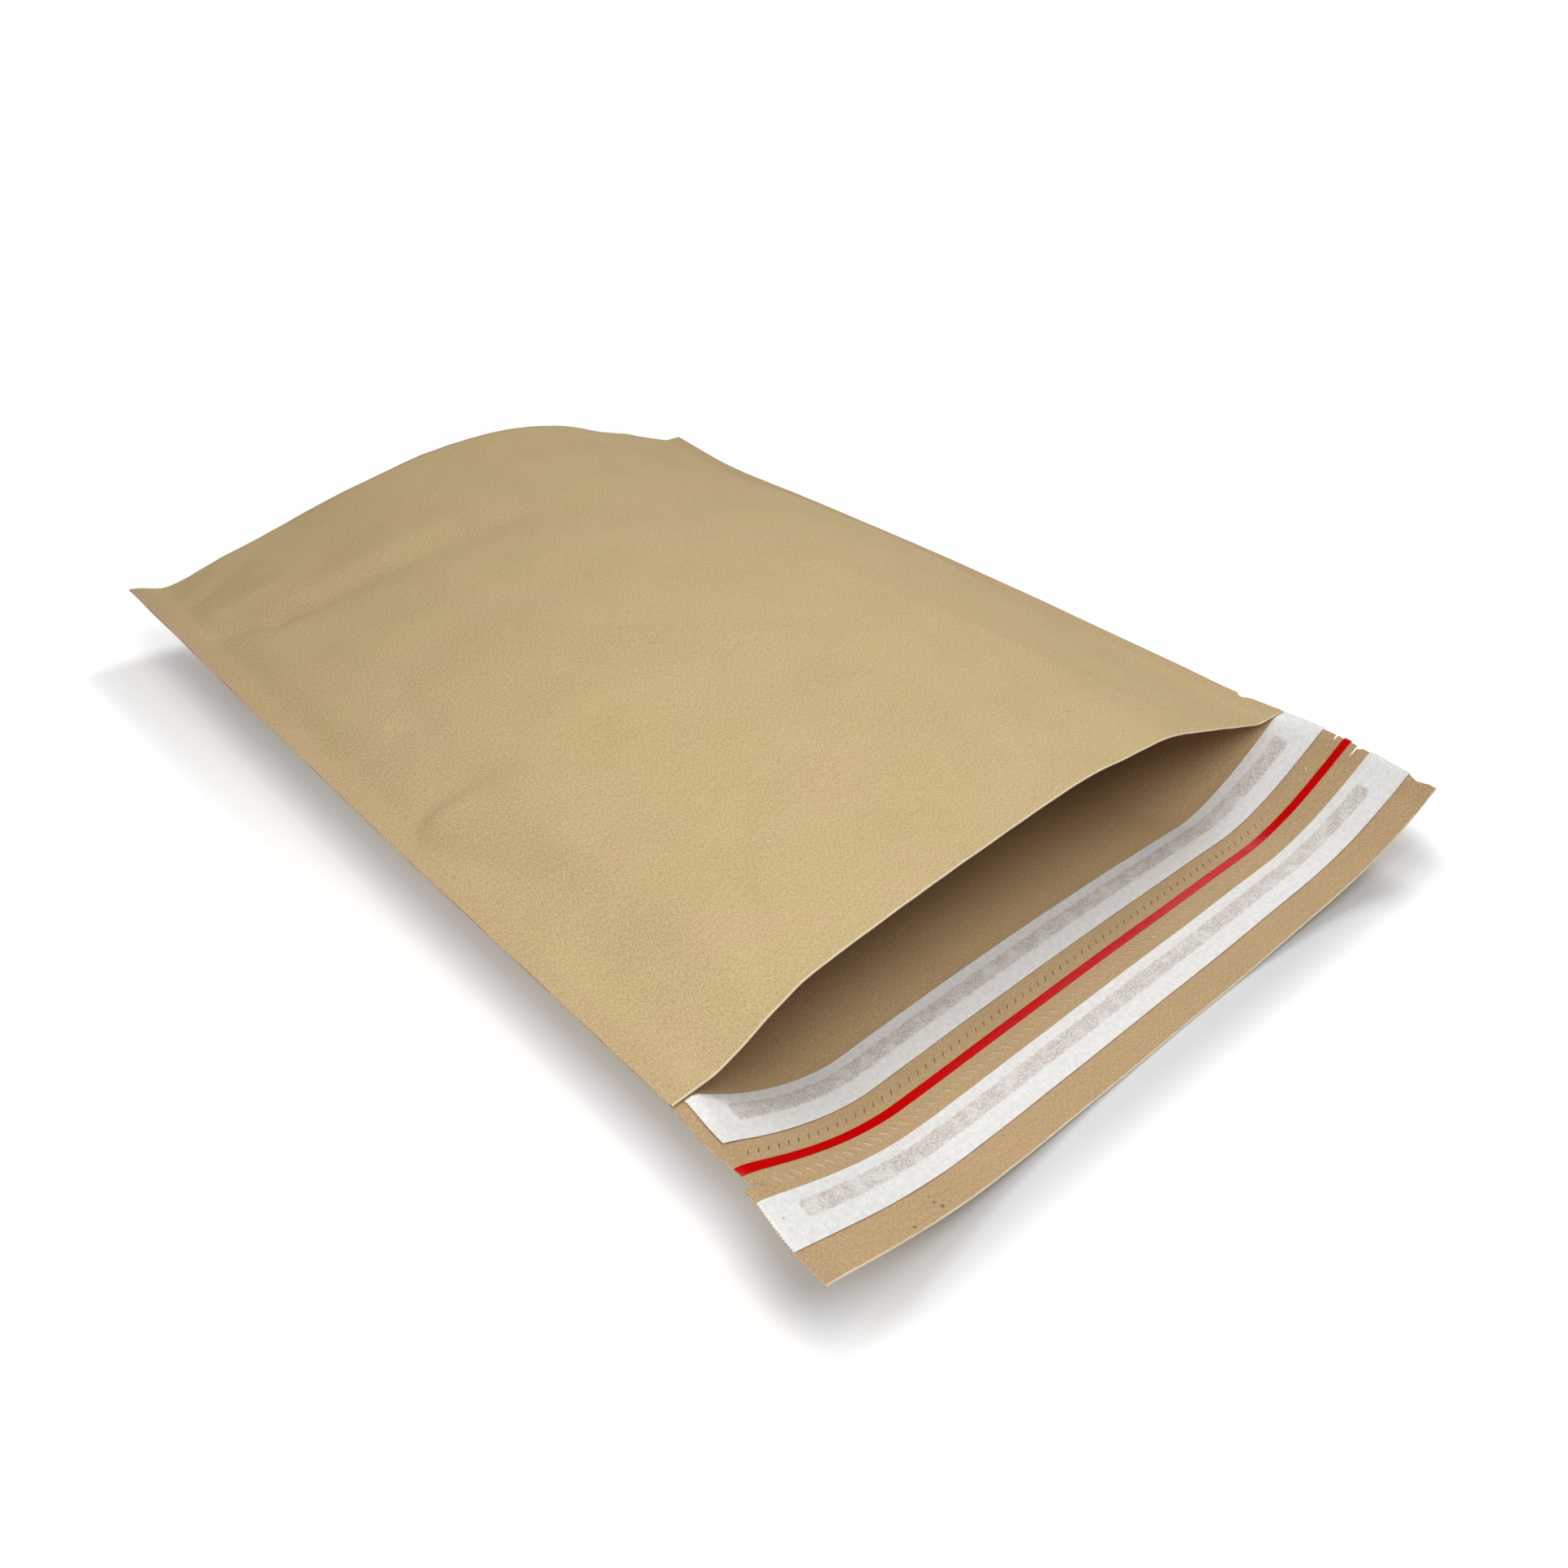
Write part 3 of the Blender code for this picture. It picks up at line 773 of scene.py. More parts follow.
def strip_piece(name, span, near, width, spacing, tooth, lift, thickness, material):
    """Strip over a span (x from, x to), width wide, that starts near the mouth line."""
    x0, x1 = span
    far = near + width
    low, high = FLAP_LENGTH - far, FLAP_LENGTH - near
    margin = spacing * 0.5
    fill = grid_points(x0 + margin, x1 - margin, low + margin, high - margin, spacing)
    outline = strip_outline(x0, x1, near, far, spacing, tooth)
    flat, faces = cut_blank(outline, [], fill, spacing * FILL_SHARE)
    piece = mesh_piece(name, flat, faces, lift, thickness, [material])
    print(name, count_triangles(piece), "triangles")
    return piece


print("a strip's outline", len(strip_outline(0, 0.35, 0.001, 0.019, 0.0024, 0.0)), "points")

# %% Release liners
LINER_WIDTH = 0.0185
LINER = 0.00022
LINER_TOOTH = 0.00025
LINER_RIPPLE = 0.00012
LINER_SPACING = 0.0024
LINER_OVERHANG = 0.0002
LINER_LEFT_INSET = 0.0045
LINER_RAMP = 0.0026
INNER_LINER_START = 0.0004
OUTER_LINER_START = 0.0415
GLUE_WIDTH = 0.0065
GLUE = 0.0003
GLUE_INSET = 0.0045
GLUE_END = 0.012
SEAT = 0.00022
LIFT_OFF = 0.0001
# each closure: name, start of its liner from the mouth line, left end of its liner
CLOSURES = (("inner", INNER_LINER_START, LINER_LEFT_INSET), ("outer", OUTER_LINER_START, 0.0))


def liner_lift(start, left, right):
    """Lift of a liner: over the paper at its edges, higher over its glue line."""
    glue_near = FLAP_LENGTH - start - GLUE_INSET
    glue_far = glue_near - GLUE_WIDTH

    def lift(u, s):
        x = u * BAG_WIDTH
        beside = np.maximum(s - glue_near, glue_far - s)
        past = np.maximum(left + GLUE_END - x, x - (right - GLUE_END))
        over = 1 - smooth_step(np.maximum(np.maximum(beside, past), 0) / LINER_RAMP)
        ripple = LINER_RIPPLE * slow_noise(u, s, 0.016, 5.0 + start * 100)
        return PAPER + SEAT + LIFT_OFF + over * (GLUE + SEAT) + np.maximum(ripple, -LIFT_OFF)

    return lift


liner_white = bpy.data.materials.new("release_liner")
for which, start, left in CLOSURES:
    piece = strip_piece(f"{which}_liner", (left, BAG_WIDTH + LINER_OVERHANG), start, LINER_WIDTH,
                        LINER_SPACING, LINER_TOOTH, liner_lift(start, left, BAG_WIDTH), LINER,
                        liner_white)
    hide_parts(f"{which}_release_liner")

# %% Glue lines
GLUE_SPACING = 0.0016

glue_grey = bpy.data.materials.new("seal_glue")
for which, start, left in CLOSURES:
    piece = strip_piece(f"{which}_glue_line", (left + GLUE_END, BAG_WIDTH - GLUE_END),
                        start + GLUE_INSET, GLUE_WIDTH, GLUE_SPACING, 0.0,
                        lambda u, s: PAPER + SEAT / 2, GLUE, glue_grey)
    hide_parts(f"{which}_glue_strip")

# %% Tear tape
TAPE_START = 0.0286
TAPE_WIDTH = 0.0034
TAPE = 0.0002
TAPE_LIFT = 0.00008
TAPE_SPACING = 0.0011
TAPE_SPAN = (-0.0002, BAG_WIDTH + 0.0004)

tape_red = bpy.data.materials.new("tear_tape")
tape = strip_piece("red_tear_tape", TAPE_SPAN, TAPE_START, TAPE_WIDTH, TAPE_SPACING, 0.0,
                   lambda u, s: PAPER + TAPE_LIFT, TAPE, tape_red)
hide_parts("tear_tape")

# %% [markdown]
# ## Finishes
#
# Kraft paper is pressed from long brown fibres. Its face is a fine pale and dark grain over
# soft cloudy patches, with a few dark specks. Two node groups make grain and specks once,
# and each paper places them with its own sizes and strengths. All of them are laid out on
# the flat blank, so the grain follows the paper round every bend.

# %% Helpers for node trees
def group_with(name, inputs, outputs):
    """New shader node group; inputs are (name, socket kind, default), outputs are names."""
    group = bpy.data.node_groups.new(name, "ShaderNodeTree")
    for socket, kind, default in inputs:
        made = group.interface.new_socket(socket, in_out="INPUT", socket_type=kind)
        if default is not None:
            made.default_value = default
    for socket in outputs:
        group.interface.new_socket(socket, in_out="OUTPUT", socket_type="NodeSocketFloat")
    return group, group.nodes.new("NodeGroupInput"), group.nodes.new("NodeGroupOutput")


def link(tree, source, target):
    tree.links.new(source, target)


def set_or_link(tree, socket, value):
    """Types a constant on a socket, or links another node's output to it."""
    if isinstance(value, (int, float)):
        socket.default_value = value
    elif isinstance(value, tuple):
        socket.default_value = (*value, 1)
    else:
        link(tree, value, socket)


def math_node(tree, operation, *values):
    node = tree.nodes.new("ShaderNodeMath")
    node.operation = operation
    for index, value in enumerate(values):
        set_or_link(tree, node.inputs[index], value)
    return node.outputs[0]


def times(tree, a, b):
    return math_node(tree, "MULTIPLY", a, b)


def plus(tree, a, b):
    return math_node(tree, "ADD", a, b)


def minus(tree, a, b):
    return math_node(tree, "SUBTRACT", a, b)


def larger(tree, a, b):
    return math_node(tree, "MAXIMUM", a, b)


def off_from(tree, a, b):
    """Distance between two values."""
    return math_node(tree, "ABSOLUTE", minus(tree, a, b))


print("maths helpers ready")

# %% Helpers for patterns and colours
def noise_node(tree, vector, scale, detail=2.0, roughness=0.5):
    node = tree.nodes.new("ShaderNodeTexNoise")
    node.inputs["Detail"].default_value = detail
    node.inputs["Roughness"].default_value = roughness
    set_or_link(tree, node.inputs["Scale"], scale)
    link(tree, vector, node.inputs["Vector"])
    return node.outputs["Fac"]


def mapped(tree, vector, rotation, scale):
    node = tree.nodes.new("ShaderNodeMapping")
    node.inputs["Rotation"].default_value = (0, 0, math.radians(rotation))
    node.inputs["Scale"].default_value = scale
    link(tree, vector, node.inputs["Vector"])
    return node.outputs["Vector"]


def axes_of(tree, vector):
    """The x and y of a vector as two values."""
    split = tree.nodes.new("ShaderNodeSeparateXYZ")
    link(tree, vector, split.inputs["Vector"])
    return split.outputs["X"], split.outputs["Y"]


def smooth_range(tree, value, low, high):
    """0 where the value is low, 1 where it is high, smooth in between."""
    node = tree.nodes.new("ShaderNodeMapRange")
    node.interpolation_type = "SMOOTHSTEP"
    node.inputs["From Min"].default_value = low
    node.inputs["From Max"].default_value = high
    link(tree, value, node.inputs["Value"])
    return node.outputs["Result"]


def mix_colour(tree, factor, a, b):
    node = tree.nodes.new("ShaderNodeMix")
    node.data_type = "RGBA"
    set_or_link(tree, node.inputs["Factor"], factor)
    set_or_link(tree, node.inputs[6], a)
    set_or_link(tree, node.inputs[7], b)
    return node.outputs[2]


def tinted(tree, colour, mask, share, tint):
    """The colour with a share of a tint over it where the mask is 1."""
    return mix_colour(tree, times(tree, mask, share), colour, tint)


print("pattern and colour helpers ready")

# %% Group: paper grain
# direction of each set of streaks in degrees, and how far it is squeezed across
STREAKS = ((20, 0.38), (80, 0.40), (140, 0.36))


def make_grain_group():
    """Grain of paper: light and dark masks, a cloud mask and a height."""
    group, source, sink = group_with(
        "paper_grain",
        [("Vector", "NodeSocketVector", None), ("Grain Scale", "NodeSocketFloat", 1200.0),
         ("Cloud Scale", "NodeSocketFloat", 60.0)],
        ("Light Grain", "Dark Grain", "Clouds", "Height"))
    vector = source.outputs["Vector"]
    streaks = []
    for turn, squeeze in STREAKS:
        stretched = mapped(group, vector, turn, (1, squeeze, 1))
        streaks.append(noise_node(group, stretched, source.outputs["Grain Scale"], 1.0, 0.5))
    light, dark, total = (
        math_node(group, operation, math_node(group, operation, streaks[0], streaks[1]), streaks[2])
        for operation in ("MAXIMUM", "MINIMUM", "ADD"))
    link(group, smooth_range(group, light, 0.52, 0.72), sink.inputs["Light Grain"])
    link(group, smooth_range(group, dark, 0.48, 0.28), sink.inputs["Dark Grain"])
    clouds = noise_node(group, vector, source.outputs["Cloud Scale"], 3.0, 0.6)
    link(group, clouds, sink.inputs["Clouds"])
    link(group, math_node(group, "DIVIDE", total, 3.0), sink.inputs["Height"])
    return group


grain_group = make_grain_group()
print("grain group", len(grain_group.nodes), "nodes")

# %% Group: specks
def make_speck_group():
    """Small dark specks, few and of uneven size."""
    group, source, sink = group_with(
        "paper_specks",
        [("Vector", "NodeSocketVector", None), ("Scale", "NodeSocketFloat", 150.0),
         ("Size", "NodeSocketFloat", 0.06)],
        ("Specks",))
    cells = group.nodes.new("ShaderNodeTexVoronoi")
    link(group, source.outputs["Vector"], cells.inputs["Vector"])
    link(group, source.outputs["Scale"], cells.inputs["Scale"])
    split = group.nodes.new("ShaderNodeSeparateColor")
    link(group, cells.outputs["Color"], split.inputs["Color"])
    size = times(group, math_node(group, "POWER", split.outputs[0], 6.0), source.outputs["Size"])
    inside = minus(group, size, cells.outputs["Distance"])
    link(group, smooth_range(group, inside, 0.0, 0.02), sink.inputs["Specks"])
    return group


speck_group = make_speck_group()
print("speck group", len(speck_group.nodes), "nodes")

# %% Small marks
# smudges on the flap and on the outer liner: x, distance from the mouth line, radius, in mm
FLAP_MARKS = ((55, 64, 0.6), (54.4, 66.6, 0.9), (55.4, 69.3, 1.0), (40.7, 70.3, 0.9))
LINER_MARKS = ((4.2, 49.4, 0.6),)


def spots(tree, vector, places):
    """Mask of small round marks."""
    mask = None
    for x, d, radius in places:
        away = tree.nodes.new("ShaderNodeVectorMath")
        away.operation = "DISTANCE"
        link(tree, vector, away.inputs[0])
        away.inputs[1].default_value = (x / 1000, FLAP_LENGTH - d / 1000, 0)
        spot = smooth_range(tree, away.outputs["Value"], radius / 1000, radius / 3000)
        mask = spot if mask is None else larger(tree, mask, spot)
    return mask


print("marks", len(FLAP_MARKS) + len(LINER_MARKS))

# %% Helpers for materials
def place_group(tree, group, vector, **values):
    node = tree.nodes.new("ShaderNodeGroup")
    node.node_tree = group
    link(tree, vector, node.inputs["Vector"])
    for socket, value in values.items():
        node.inputs[socket.replace("_", " ")].default_value = value
    return node


def start_material(material, roughness, specular=0.5):
    """Tree, shader and flat place on the blank of a material with a plain surface."""
    material.use_nodes = True
    tree = material.node_tree
    shader = tree.nodes["Principled BSDF"]
    shader.inputs["Roughness"].default_value = roughness
    shader.inputs["Specular IOR Level"].default_value = specular
    flat_place = tree.nodes.new("ShaderNodeUVMap")
    flat_place.uv_map = "sheet"
    return tree, shader, flat_place.outputs["UV"]


def finish_shader(tree, shader, colour, height, strength, distance):
    """Gives a shader its colour, and a bump from a height."""
    link(tree, colour, shader.inputs["Base Color"])
    bump = tree.nodes.new("ShaderNodeBump")
    bump.inputs["Strength"].default_value = strength
    bump.inputs["Distance"].default_value = distance
    link(tree, height, bump.inputs["Height"])
    link(tree, bump.outputs["Normal"], shader.inputs["Normal"])


print("material helpers ready")

# %% [markdown]
# ### Kraft paper
#
# The faces of the bag, its cut rims and the walls of its slits share one finish, each with
# its own colours: a main one, a pinker one that drifts in, a pale grain and a dark grain. The
# dark colours of the gaping slit walls are painted shade, and the pale ones of the slit lips
# are pale cut fibres with a painted highlight. Two things belong to places on the sheet: a
# painted highlight, a pale line along its free edges at the mouth and at the tip, and a
# browner band down both sides, over the glued seams.

# %% Painted edge highlight and seam bands
def painted_edge_highlight(tree, flat_place):
    """Thin pale line of painted highlight along the two free edges of the sheet, at the mouth and at
    the tip.
    """
    _, along = axes_of(tree, flat_place)
    waver = times(tree, noise_node(tree, flat_place, 160.0), 0.0006)
    mouth = smooth_range(tree, plus(tree, along, waver), BLANK_LENGTH - 0.0004, BLANK_LENGTH)
    tip = smooth_range(tree, minus(tree, along, waver), 0.0003, -0.0002)
    return larger(tree, mouth, tip)


def seam_band(tree, flat_place):
    """Mask of the two glued side seams, with a wavering edge."""
    across, _ = axes_of(tree, flat_place)
    waver = times(tree, noise_node(tree, flat_place, 60.0), 0.004)
    edge = BAG_WIDTH / 2 - SEAM_BAND
    off_middle = plus(tree, off_from(tree, across, BAG_WIDTH / 2), waver)
    return smooth_range(tree, off_middle, edge - 0.002, edge + 0.005)


print("seam band from", round(BAG_WIDTH / 2 - SEAM_BAND, 3), "m off the middle")

# %% Kraft paper
# pale colour of the painted highlight along the free edges
EDGE_HIGHLIGHT_PALE = (0.80, 0.69, 0.50)
SPECK_BROWN = (0.18, 0.12, 0.06)
MARK_BROWN = (0.16, 0.085, 0.05)
# main colour, pink, pale grain and dark grain of the kraft finishes, in the order of the slots
KRAFT_COLOURS = (
    ((0.490, 0.342, 0.174), (0.510, 0.340, 0.188), (0.640, 0.480, 0.272), (0.320, 0.207, 0.094)),
    ((0.535, 0.422, 0.202), (0.575, 0.406, 0.232), (0.690, 0.555, 0.315), (0.350, 0.250, 0.110)),
    ((0.60, 0.47, 0.30), (0.62, 0.48, 0.32), (0.72, 0.60, 0.43), (0.42, 0.31, 0.18)),
    # slit walls: painted shade of the gaping slits
    ((0.29, 0.195, 0.10), (0.29, 0.19, 0.10), (0.36, 0.25, 0.14), (0.18, 0.115, 0.06)),
    # slit lips: pale cut fibres with a painted highlight
    ((0.84, 0.71, 0.50), (0.84, 0.70, 0.51), (0.90, 0.80, 0.62), (0.60, 0.48, 0.32)),
)


def finish_kraft(material, main, pink, pale, dark, marks=()):
    tree, shader, flat_place = start_material(material, 0.82, 0.25)
    fine = place_group(tree, grain_group, flat_place, Grain_Scale=2500.0, Cloud_Scale=520.0)
    coarse = place_group(tree, grain_group, flat_place, Grain_Scale=1250.0, Cloud_Scale=26.0)
    specks = place_group(tree, speck_group, flat_place, Scale=130.0, Size=0.085)
    small_hue = smooth_range(tree, fine.outputs["Clouds"], 0.42, 0.60)
    wide_hue = smooth_range(tree, noise_node(tree, flat_place, 18.0, 2.0, 0.6), 0.40, 0.62)
    seam = seam_band(tree, flat_place)
    hue = times(tree, plus(tree, small_hue, wide_hue), 0.5)
    colour = mix_colour(tree, larger(tree, hue, times(tree, seam, 0.9)), main, pink)
    colour = tinted(tree, colour, seam, 0.22, dark)
    patches = smooth_range(tree, coarse.outputs["Clouds"], 0.34, 0.68)
    colour = tinted(tree, colour, patches, 0.16, dark)
    for grain, share in ((coarse, 0.15), (fine, 0.46)):
        colour = tinted(tree, colour, grain.outputs["Light Grain"], share, pale)
        colour = tinted(tree, colour, grain.outputs["Dark Grain"], share, dark)
    colour = tinted(tree, colour, specks.outputs["Specks"], 0.5, SPECK_BROWN)
    # painted highlight along the free edges at the mouth and the tip
    colour = tinted(tree, colour, painted_edge_highlight(tree, flat_place), 0.8, EDGE_HIGHLIGHT_PALE)
    if marks:
        colour = tinted(tree, colour, spots(tree, flat_place, marks), 0.7, MARK_BROWN)
    height = plus(tree, fine.outputs["Height"], times(tree, coarse.outputs["Height"], 2.0))
    finish_shader(tree, shader, colour, height, 0.14, 0.0002)


for index, (material, colours) in enumerate(zip(krafts, KRAFT_COLOURS)):
    finish_kraft(material, *colours, marks=FLAP_MARKS if index == INSIDE else ())
    print(kraft_names[index], len(material.node_tree.nodes), "nodes")

# %% [markdown]
# ### Liners, glue and tape
#
# A release liner is white paper with a smooth silicone face. It is pressed onto its glue, and
# the glue shows through as a grey band with round ends, patchy where the two touch less. The
# band is worked out from the sizes of the glue line, so it always lies over it. The tape is a
# plain red film with fine streaks and wrinkles along it.

# %% Glue that shows through the liners
def glue_shadow(tree, flat_place):
    """Mask of the glue lines that show through their liners, patchy and with soft ends."""
    across, along = axes_of(tree, flat_place)
    ragged = times(tree, minus(tree, noise_node(tree, flat_place, 700.0), 0.5), 0.0016)
    radius = GLUE_WIDTH / 2
    masks = []
    for _, start, left in CLOSURES:
        beside = off_from(tree, along, FLAP_LENGTH - start - GLUE_INSET - radius)
        reach = (BAG_WIDTH - left) / 2 - GLUE_END - radius
        past = minus(tree, off_from(tree, across, (left + BAG_WIDTH) / 2), reach)
        # the power of four gives the ends their squared-off round
        total = plus(tree, math_node(tree, "POWER", beside, 4.0),
                     math_node(tree, "POWER", larger(tree, past, 0.0), 4.0))
        away = plus(tree, math_node(tree, "POWER", total, 0.25), ragged)
        masks.append(smooth_range(tree, away, radius + 0.0004, radius - 0.0005))
    return larger(tree, masks[0], masks[1])


def glue_patches(tree, flat_place):
    """How much of the glue shows: fine mottle times wide blotches."""
    mottle = smooth_range(tree, noise_node(tree, flat_place, 1000.0, 3.0, 0.8), 0.40, 0.58)
    blotches = smooth_range(tree, noise_node(tree, flat_place, 150.0, 2.0, 0.6), 0.30, 0.60)
    return times(tree, plus(tree, times(tree, mottle, 0.65), 0.22),
                 plus(tree, times(tree, blotches, 0.6), 0.4))


print("glue shows through over", round(BAG_WIDTH - 2 * GLUE_END, 3), "m of the outer liner")

# %% Release liner paper
LINER_WHITES = ((0.76, 0.75, 0.735), (0.835, 0.825, 0.805))
LINER_GREY = (0.50, 0.49, 0.48)
GLUE_TINT = (0.46, 0.385, 0.32)
SPECK_GREY = (0.45, 0.40, 0.34)
MARK_GREY = (0.28, 0.25, 0.22)


def finish_liner(material):
    tree, shader, flat_place = start_material(material, 0.55, 0.3)
    grain = place_group(tree, grain_group, flat_place, Grain_Scale=1500.0, Cloud_Scale=420.0)
    specks = place_group(tree, speck_group, flat_place, Scale=260.0, Size=0.05)
    clouds = smooth_range(tree, grain.outputs["Clouds"], 0.35, 0.65)
    colour = mix_colour(tree, clouds, *LINER_WHITES)
    colour = tinted(tree, colour, grain.outputs["Dark Grain"], 0.26, LINER_GREY)
    glue = glue_shadow(tree, flat_place)
    colour = tinted(tree, colour, glue, glue_patches(tree, flat_place), GLUE_TINT)
    colour = tinted(tree, colour, specks.outputs["Specks"], 0.4, SPECK_GREY)
    colour = tinted(tree, colour, spots(tree, flat_place, LINER_MARKS), 0.6, MARK_GREY)
    finish_shader(tree, shader, colour, grain.outputs["Height"], 0.3, 0.00015)


finish_liner(liner_white)
print("liner", len(liner_white.node_tree.nodes), "nodes")

# %% Glue and tear tape
GLUE_COLOURS = ((0.42, 0.36, 0.30), (0.58, 0.52, 0.45))
TAPE_REDS = ((0.50, 0.0, 0.0), (0.60, 0.001, 0.001))


def finish_glue(material):
    tree, shader, flat_place = start_material(material, 0.35)
    lumps = noise_node(tree, flat_place, 500.0, 3.0)
    finish_shader(tree, shader, mix_colour(tree, lumps, *GLUE_COLOURS), lumps, 0.5, 0.0003)


def finish_tape(material):
    tree, shader, flat_place = start_material(material, 0.26, 0.05)
    streaks = noise_node(tree, mapped(tree, flat_place, 0, (0.15, 1.6, 1)), 500.0, 3.0)
    wrinkles = noise_node(tree, mapped(tree, flat_place, 20, (1.0, 0.5, 1)), 380.0)
    finish_shader(tree, shader, mix_colour(tree, streaks, *TAPE_REDS), wrinkles, 0.25, 0.0004)


finish_glue(glue_grey)
finish_tape(tape_red)
print("glue and tape finished")

# %% [markdown]
# ## Floor, light and background
#
# The studio is plain: a pale floor, a soft sky on all sides and three soft lamps. One hangs
# over the near side, close enough for the mouth to be brighter than the far end. One stands
# behind and above, and lays the soft shadow under the near edges. A weak one at the left
# opens the slope there and picks out its creases.
#
# The floor has one plain colour for the light that bounces off it, and its own colour for the
# camera, with painted shadow in it: greyer next to the bag, darker in front of the flap's tip
# and darker still beneath the bag, where the slits look down on it. Further off it turns pure
# white, which adds no light to the object.

# %% The floor's shades, with painted shadow
FLOOR_BOUNCE = (0.90, 0.90, 0.90)
# half sizes of the box that the floor's distance from the bag is measured to
BAG_HALF = (0.170, 0.250)
# shades for the camera, some above 1 because lamps and shadow take part of them away; the
# lower ones close to the bag, at the flap's tip and beneath the bag are painted shadow
FLOOR_PAINTED_SHADOW_CLOSE = (1.14, 1.21, 1.36)
FLOOR_BESIDE = (1.33, 1.34, 1.36)
FLOOR_AWAY = (1.8, 1.83, 1.87)
FLOOR_PAINTED_SHADOW_AT_TIP = (0.66, 0.66, 0.67)
FLOOR_PAINTED_SHADE_BENEATH = (0.40, 0.38, 0.35)
# stretches over which one shade turns into the next: of the distance from the bag, and of x
# and y for the painted shadow in front of the flap's tip
BESIDE_FROM = (-0.004, 0.012)
AWAY_FROM = (0.010, 0.075)
TIP_WITHIN = (0.045, 0.0)
TIP_X, TIP_Y_FADE = (-0.20, -0.14), (-0.19, -0.26)
# where the painted shade beneath the bag ends on each axis, and how softly
BENEATH_EDGES = (0.168, 0.235)
BENEATH_FADE = 0.05
# pure white starts and is full: from the middle all round, and on x + y behind the bag
WHITE_FROM = (0.34, 0.55)
WHITE_BEHIND = (0.06, 0.18)


def floor_gap(tree, axes):
    """Distance of a place on the floor from the box round the bag."""
    squares = []
    for axis, half in zip(axes, BAG_HALF):
        beside = larger(tree, minus(tree, math_node(tree, "ABSOLUTE", axis), half), 0.0)
        squares.append(times(tree, beside, beside))
    return math_node(tree, "SQRT", plus(tree, *squares))


def floor_colour_with_painted_shadow(tree, axes):
    """Colour of the floor for the camera, with painted shadow next to the bag, in front of the flap's
    tip and beneath it.
    """
    x, y = axes
    gap = floor_gap(tree, axes)
    # painted shadow: greyer close to the bag, fading out further off
    shade = mix_colour(tree, smooth_range(tree, gap, *BESIDE_FROM), FLOOR_PAINTED_SHADOW_CLOSE, FLOOR_BESIDE)
    # painted shadow on the floor in front of the flap's tip
    before_tip = times(tree, smooth_range(tree, y, *TIP_Y_FADE), smooth_range(tree, x, *TIP_X))
    painted_tip_shadow = times(tree, smooth_range(tree, gap, *TIP_WITHIN), before_tip)
    shade = mix_colour(tree, painted_tip_shadow, shade, FLOOR_PAINTED_SHADOW_AT_TIP)
    shade = mix_colour(tree, smooth_range(tree, gap, *AWAY_FROM), shade, FLOOR_AWAY)
    # painted shade on the floor beneath the bag
    beneath = [smooth_range(tree, math_node(tree, "ABSOLUTE", axis), edge, edge - BENEATH_FADE)
               for axis, edge in zip(axes, BENEATH_EDGES)]
    return mix_colour(tree, times(tree, *beneath), shade, FLOOR_PAINTED_SHADE_BENEATH)


def pure_white_mask(tree, place, axes):
    """1 where the floor is pure white for the camera: far off all round, and behind the bag."""
    length = tree.nodes.new("ShaderNodeVectorMath")
    length.operation = "LENGTH"
    link(tree, place, length.inputs[0])
    far = smooth_range(tree, length.outputs["Value"], *WHITE_FROM)
    return larger(tree, far, smooth_range(tree, plus(tree, *axes), *WHITE_BEHIND))


print("floor shades from", FLOOR_PAINTED_SHADE_BENEATH, "to", FLOOR_AWAY)

# %% Floor
FLOOR_HALF = 30.0
FLOOR_DROP = 0.0004


def plain_shader(tree, kind, colour):
    """Output of a new shader node of one kind and colour."""
    node = tree.nodes.new(kind)
    set_or_link(tree, node.inputs["Color"], colour)
    return node.outputs[0]


def mix_shaders(tree, factor, a, b):
    node = tree.nodes.new("ShaderNodeMixShader")
    for socket, value in zip(node.inputs, (factor, a, b)):
        link(tree, value, socket)
    return node.outputs["Shader"]


def finish_floor(material):
    material.use_nodes = True
    tree = material.node_tree
    tree.nodes.clear()
    place = tree.nodes.new("ShaderNodeNewGeometry").outputs["Position"]
    axes = axes_of(tree, place)
    shown = plain_shader(tree, "ShaderNodeBsdfDiffuse", floor_colour_with_painted_shadow(tree, axes))
    white = plain_shader(tree, "ShaderNodeEmission", (1.0, 1.0, 1.0))
    for_camera = mix_shaders(tree, pure_white_mask(tree, place, axes), shown, white)
    seen = tree.nodes.new("ShaderNodeLightPath").outputs["Is Camera Ray"]
    bounce = plain_shader(tree, "ShaderNodeBsdfDiffuse", FLOOR_BOUNCE)
    surface = mix_shaders(tree, seen, bounce, for_camera)
    link(tree, surface, tree.nodes.new("ShaderNodeOutputMaterial").inputs["Surface"])


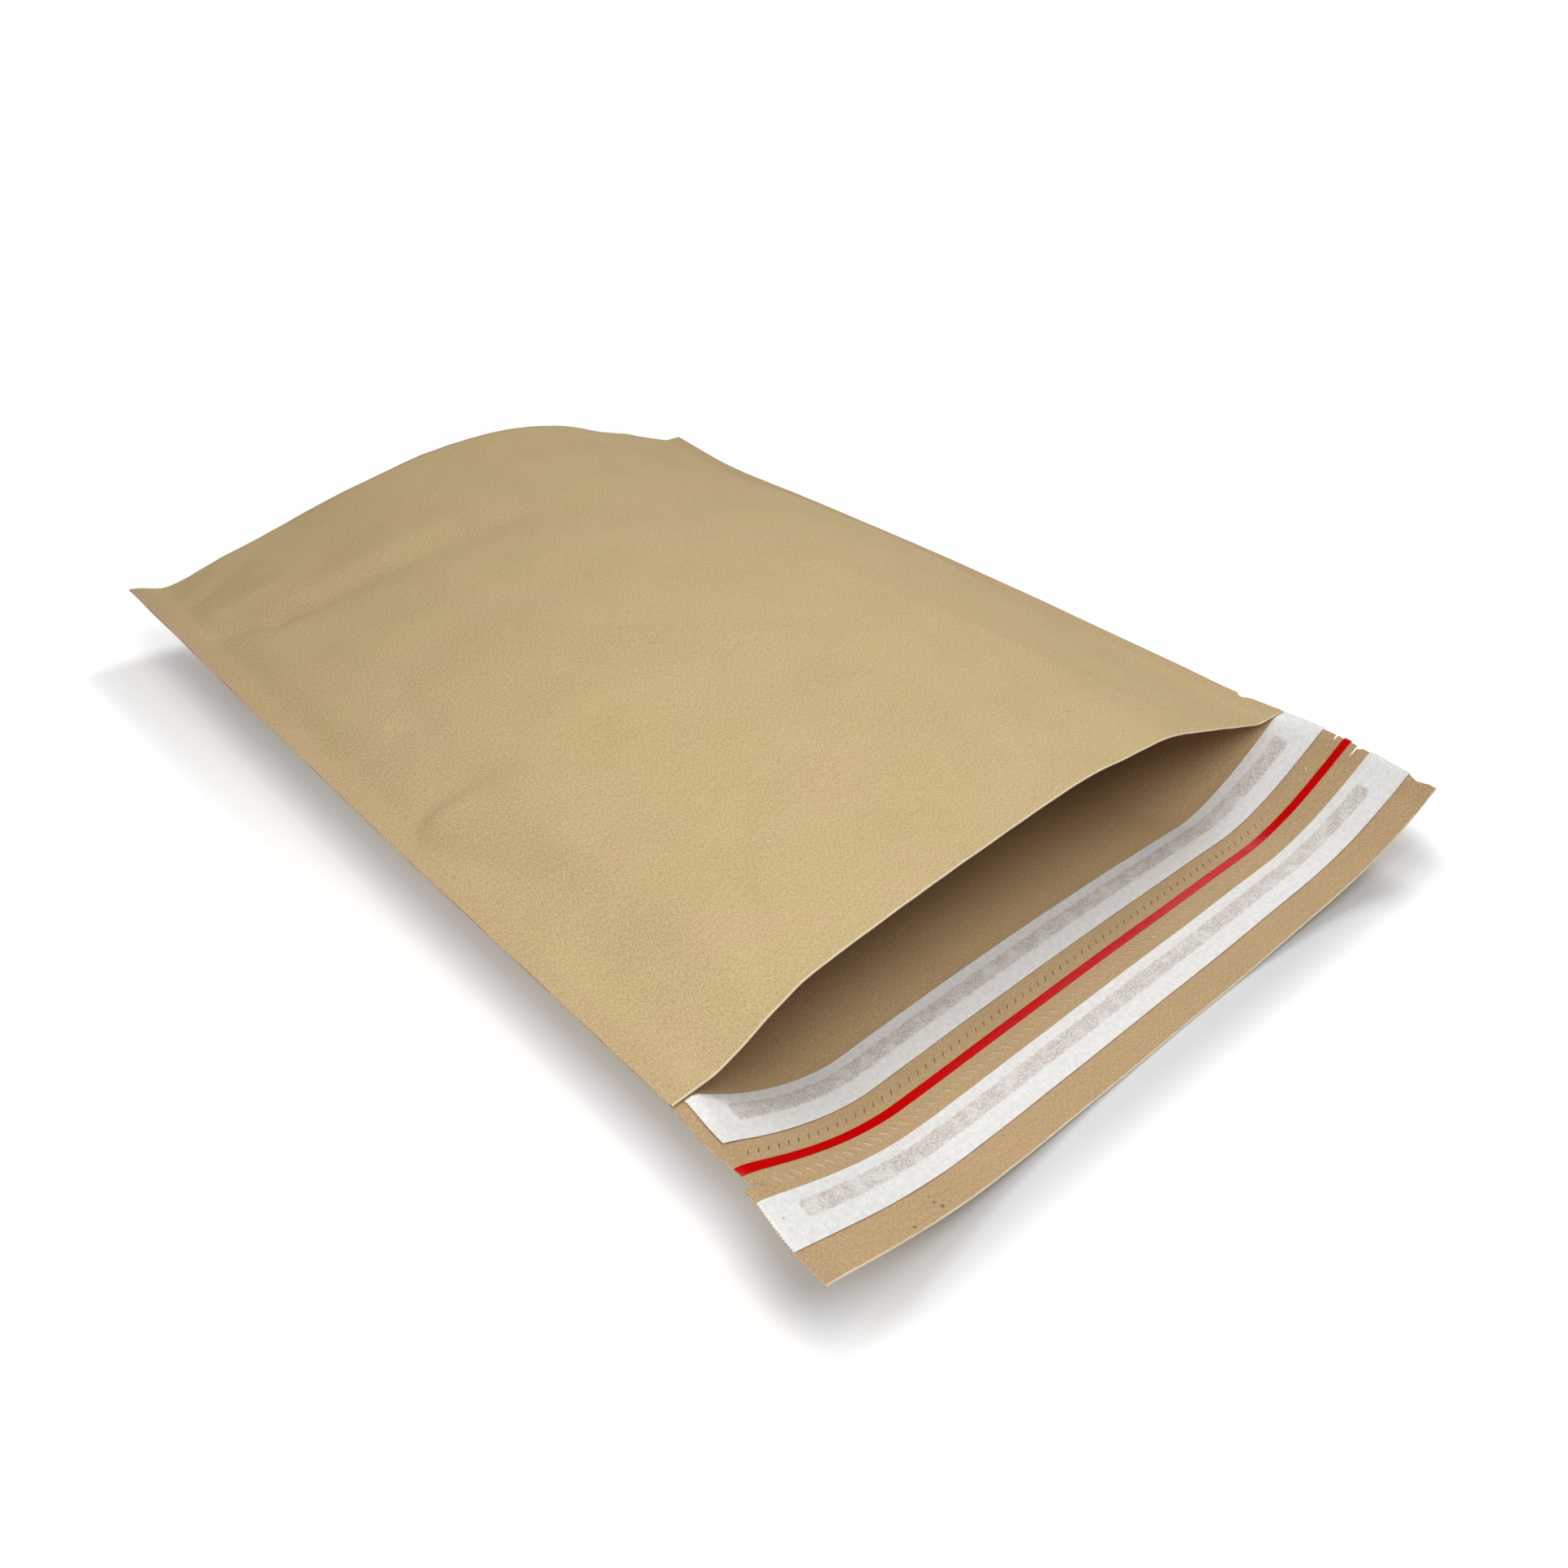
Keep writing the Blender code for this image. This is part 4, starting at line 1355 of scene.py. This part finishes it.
def make_floor():
    mesh = bpy.data.meshes.new("floor")
    corners = [(-1, -1), (1, -1), (1, 1), (-1, 1)]
    mesh.from_pydata([(x * FLOOR_HALF, y * FLOOR_HALF, -FLOOR_DROP) for x, y in corners], [],
                     [(0, 1, 2, 3)])
    floor = bpy.data.objects.new("floor", mesh)
    bpy.context.scene.collection.objects.link(floor)
    material = bpy.data.materials.new("pale_floor")
    finish_floor(material)
    mesh.materials.append(material)
    return floor


floor = make_floor()
print("floor", floor.dimensions.x, "m wide")

# %% Sky and lamps
SKY_COLOUR = (1.0, 0.99, 0.98)
SKY_STRENGTH = 0.285
# what the camera sees of the sky in low views
SKY_SHOWN = (0.8, 0.8, 0.8)
# name, place, size in metres, power in watts; all of them aim at the middle of the bag
LAMPS = (
    ("near_lamp", (-0.18, -0.38, 0.58), 0.4, 2.15),
    ("back_lamp", (1.0, 0.25, 1.1), 0.6, 9.0),
    ("side_lamp", (-0.85, -0.10, 0.46), 0.4, 1.9),
)


def make_sky():
    world = bpy.data.worlds.new("studio")
    bpy.context.scene.world = world
    world.use_nodes = True
    tree = world.node_tree
    sky = tree.nodes["Background"]
    sky.inputs["Color"].default_value = (*SKY_COLOUR, 1)
    sky.inputs["Strength"].default_value = SKY_STRENGTH
    pale = plain_shader(tree, "ShaderNodeBackground", SKY_SHOWN)
    seen = tree.nodes.new("ShaderNodeLightPath")
    shown = larger(tree, seen.outputs["Is Camera Ray"], seen.outputs["Is Transmission Ray"])
    surface = mix_shaders(tree, shown, sky.outputs["Background"], pale)
    link(tree, surface, tree.nodes["World Output"].inputs["Surface"])


def soft_lamp(name, place, size, power):
    lamp = bpy.data.lights.new(name, "AREA")
    lamp.shape = "DISK"
    lamp.size = size
    lamp.energy = power
    item = bpy.data.objects.new(name, lamp)
    bpy.context.scene.collection.objects.link(item)
    item.location = place
    item.rotation_euler = (-Vector(place)).to_track_quat("-Z", "Y").to_euler()
    return item


make_sky()
lamps = [soft_lamp(*values) for values in LAMPS]
print("lamps", [(lamp.name, round(lamp.data.energy, 2)) for lamp in lamps])

# %% [markdown]
# ## Closing
#
# The picture is shown by the plain Standard view, so a colour renders as it is written.

# %% Closing
bpy.context.scene.view_settings.view_transform = "Standard"
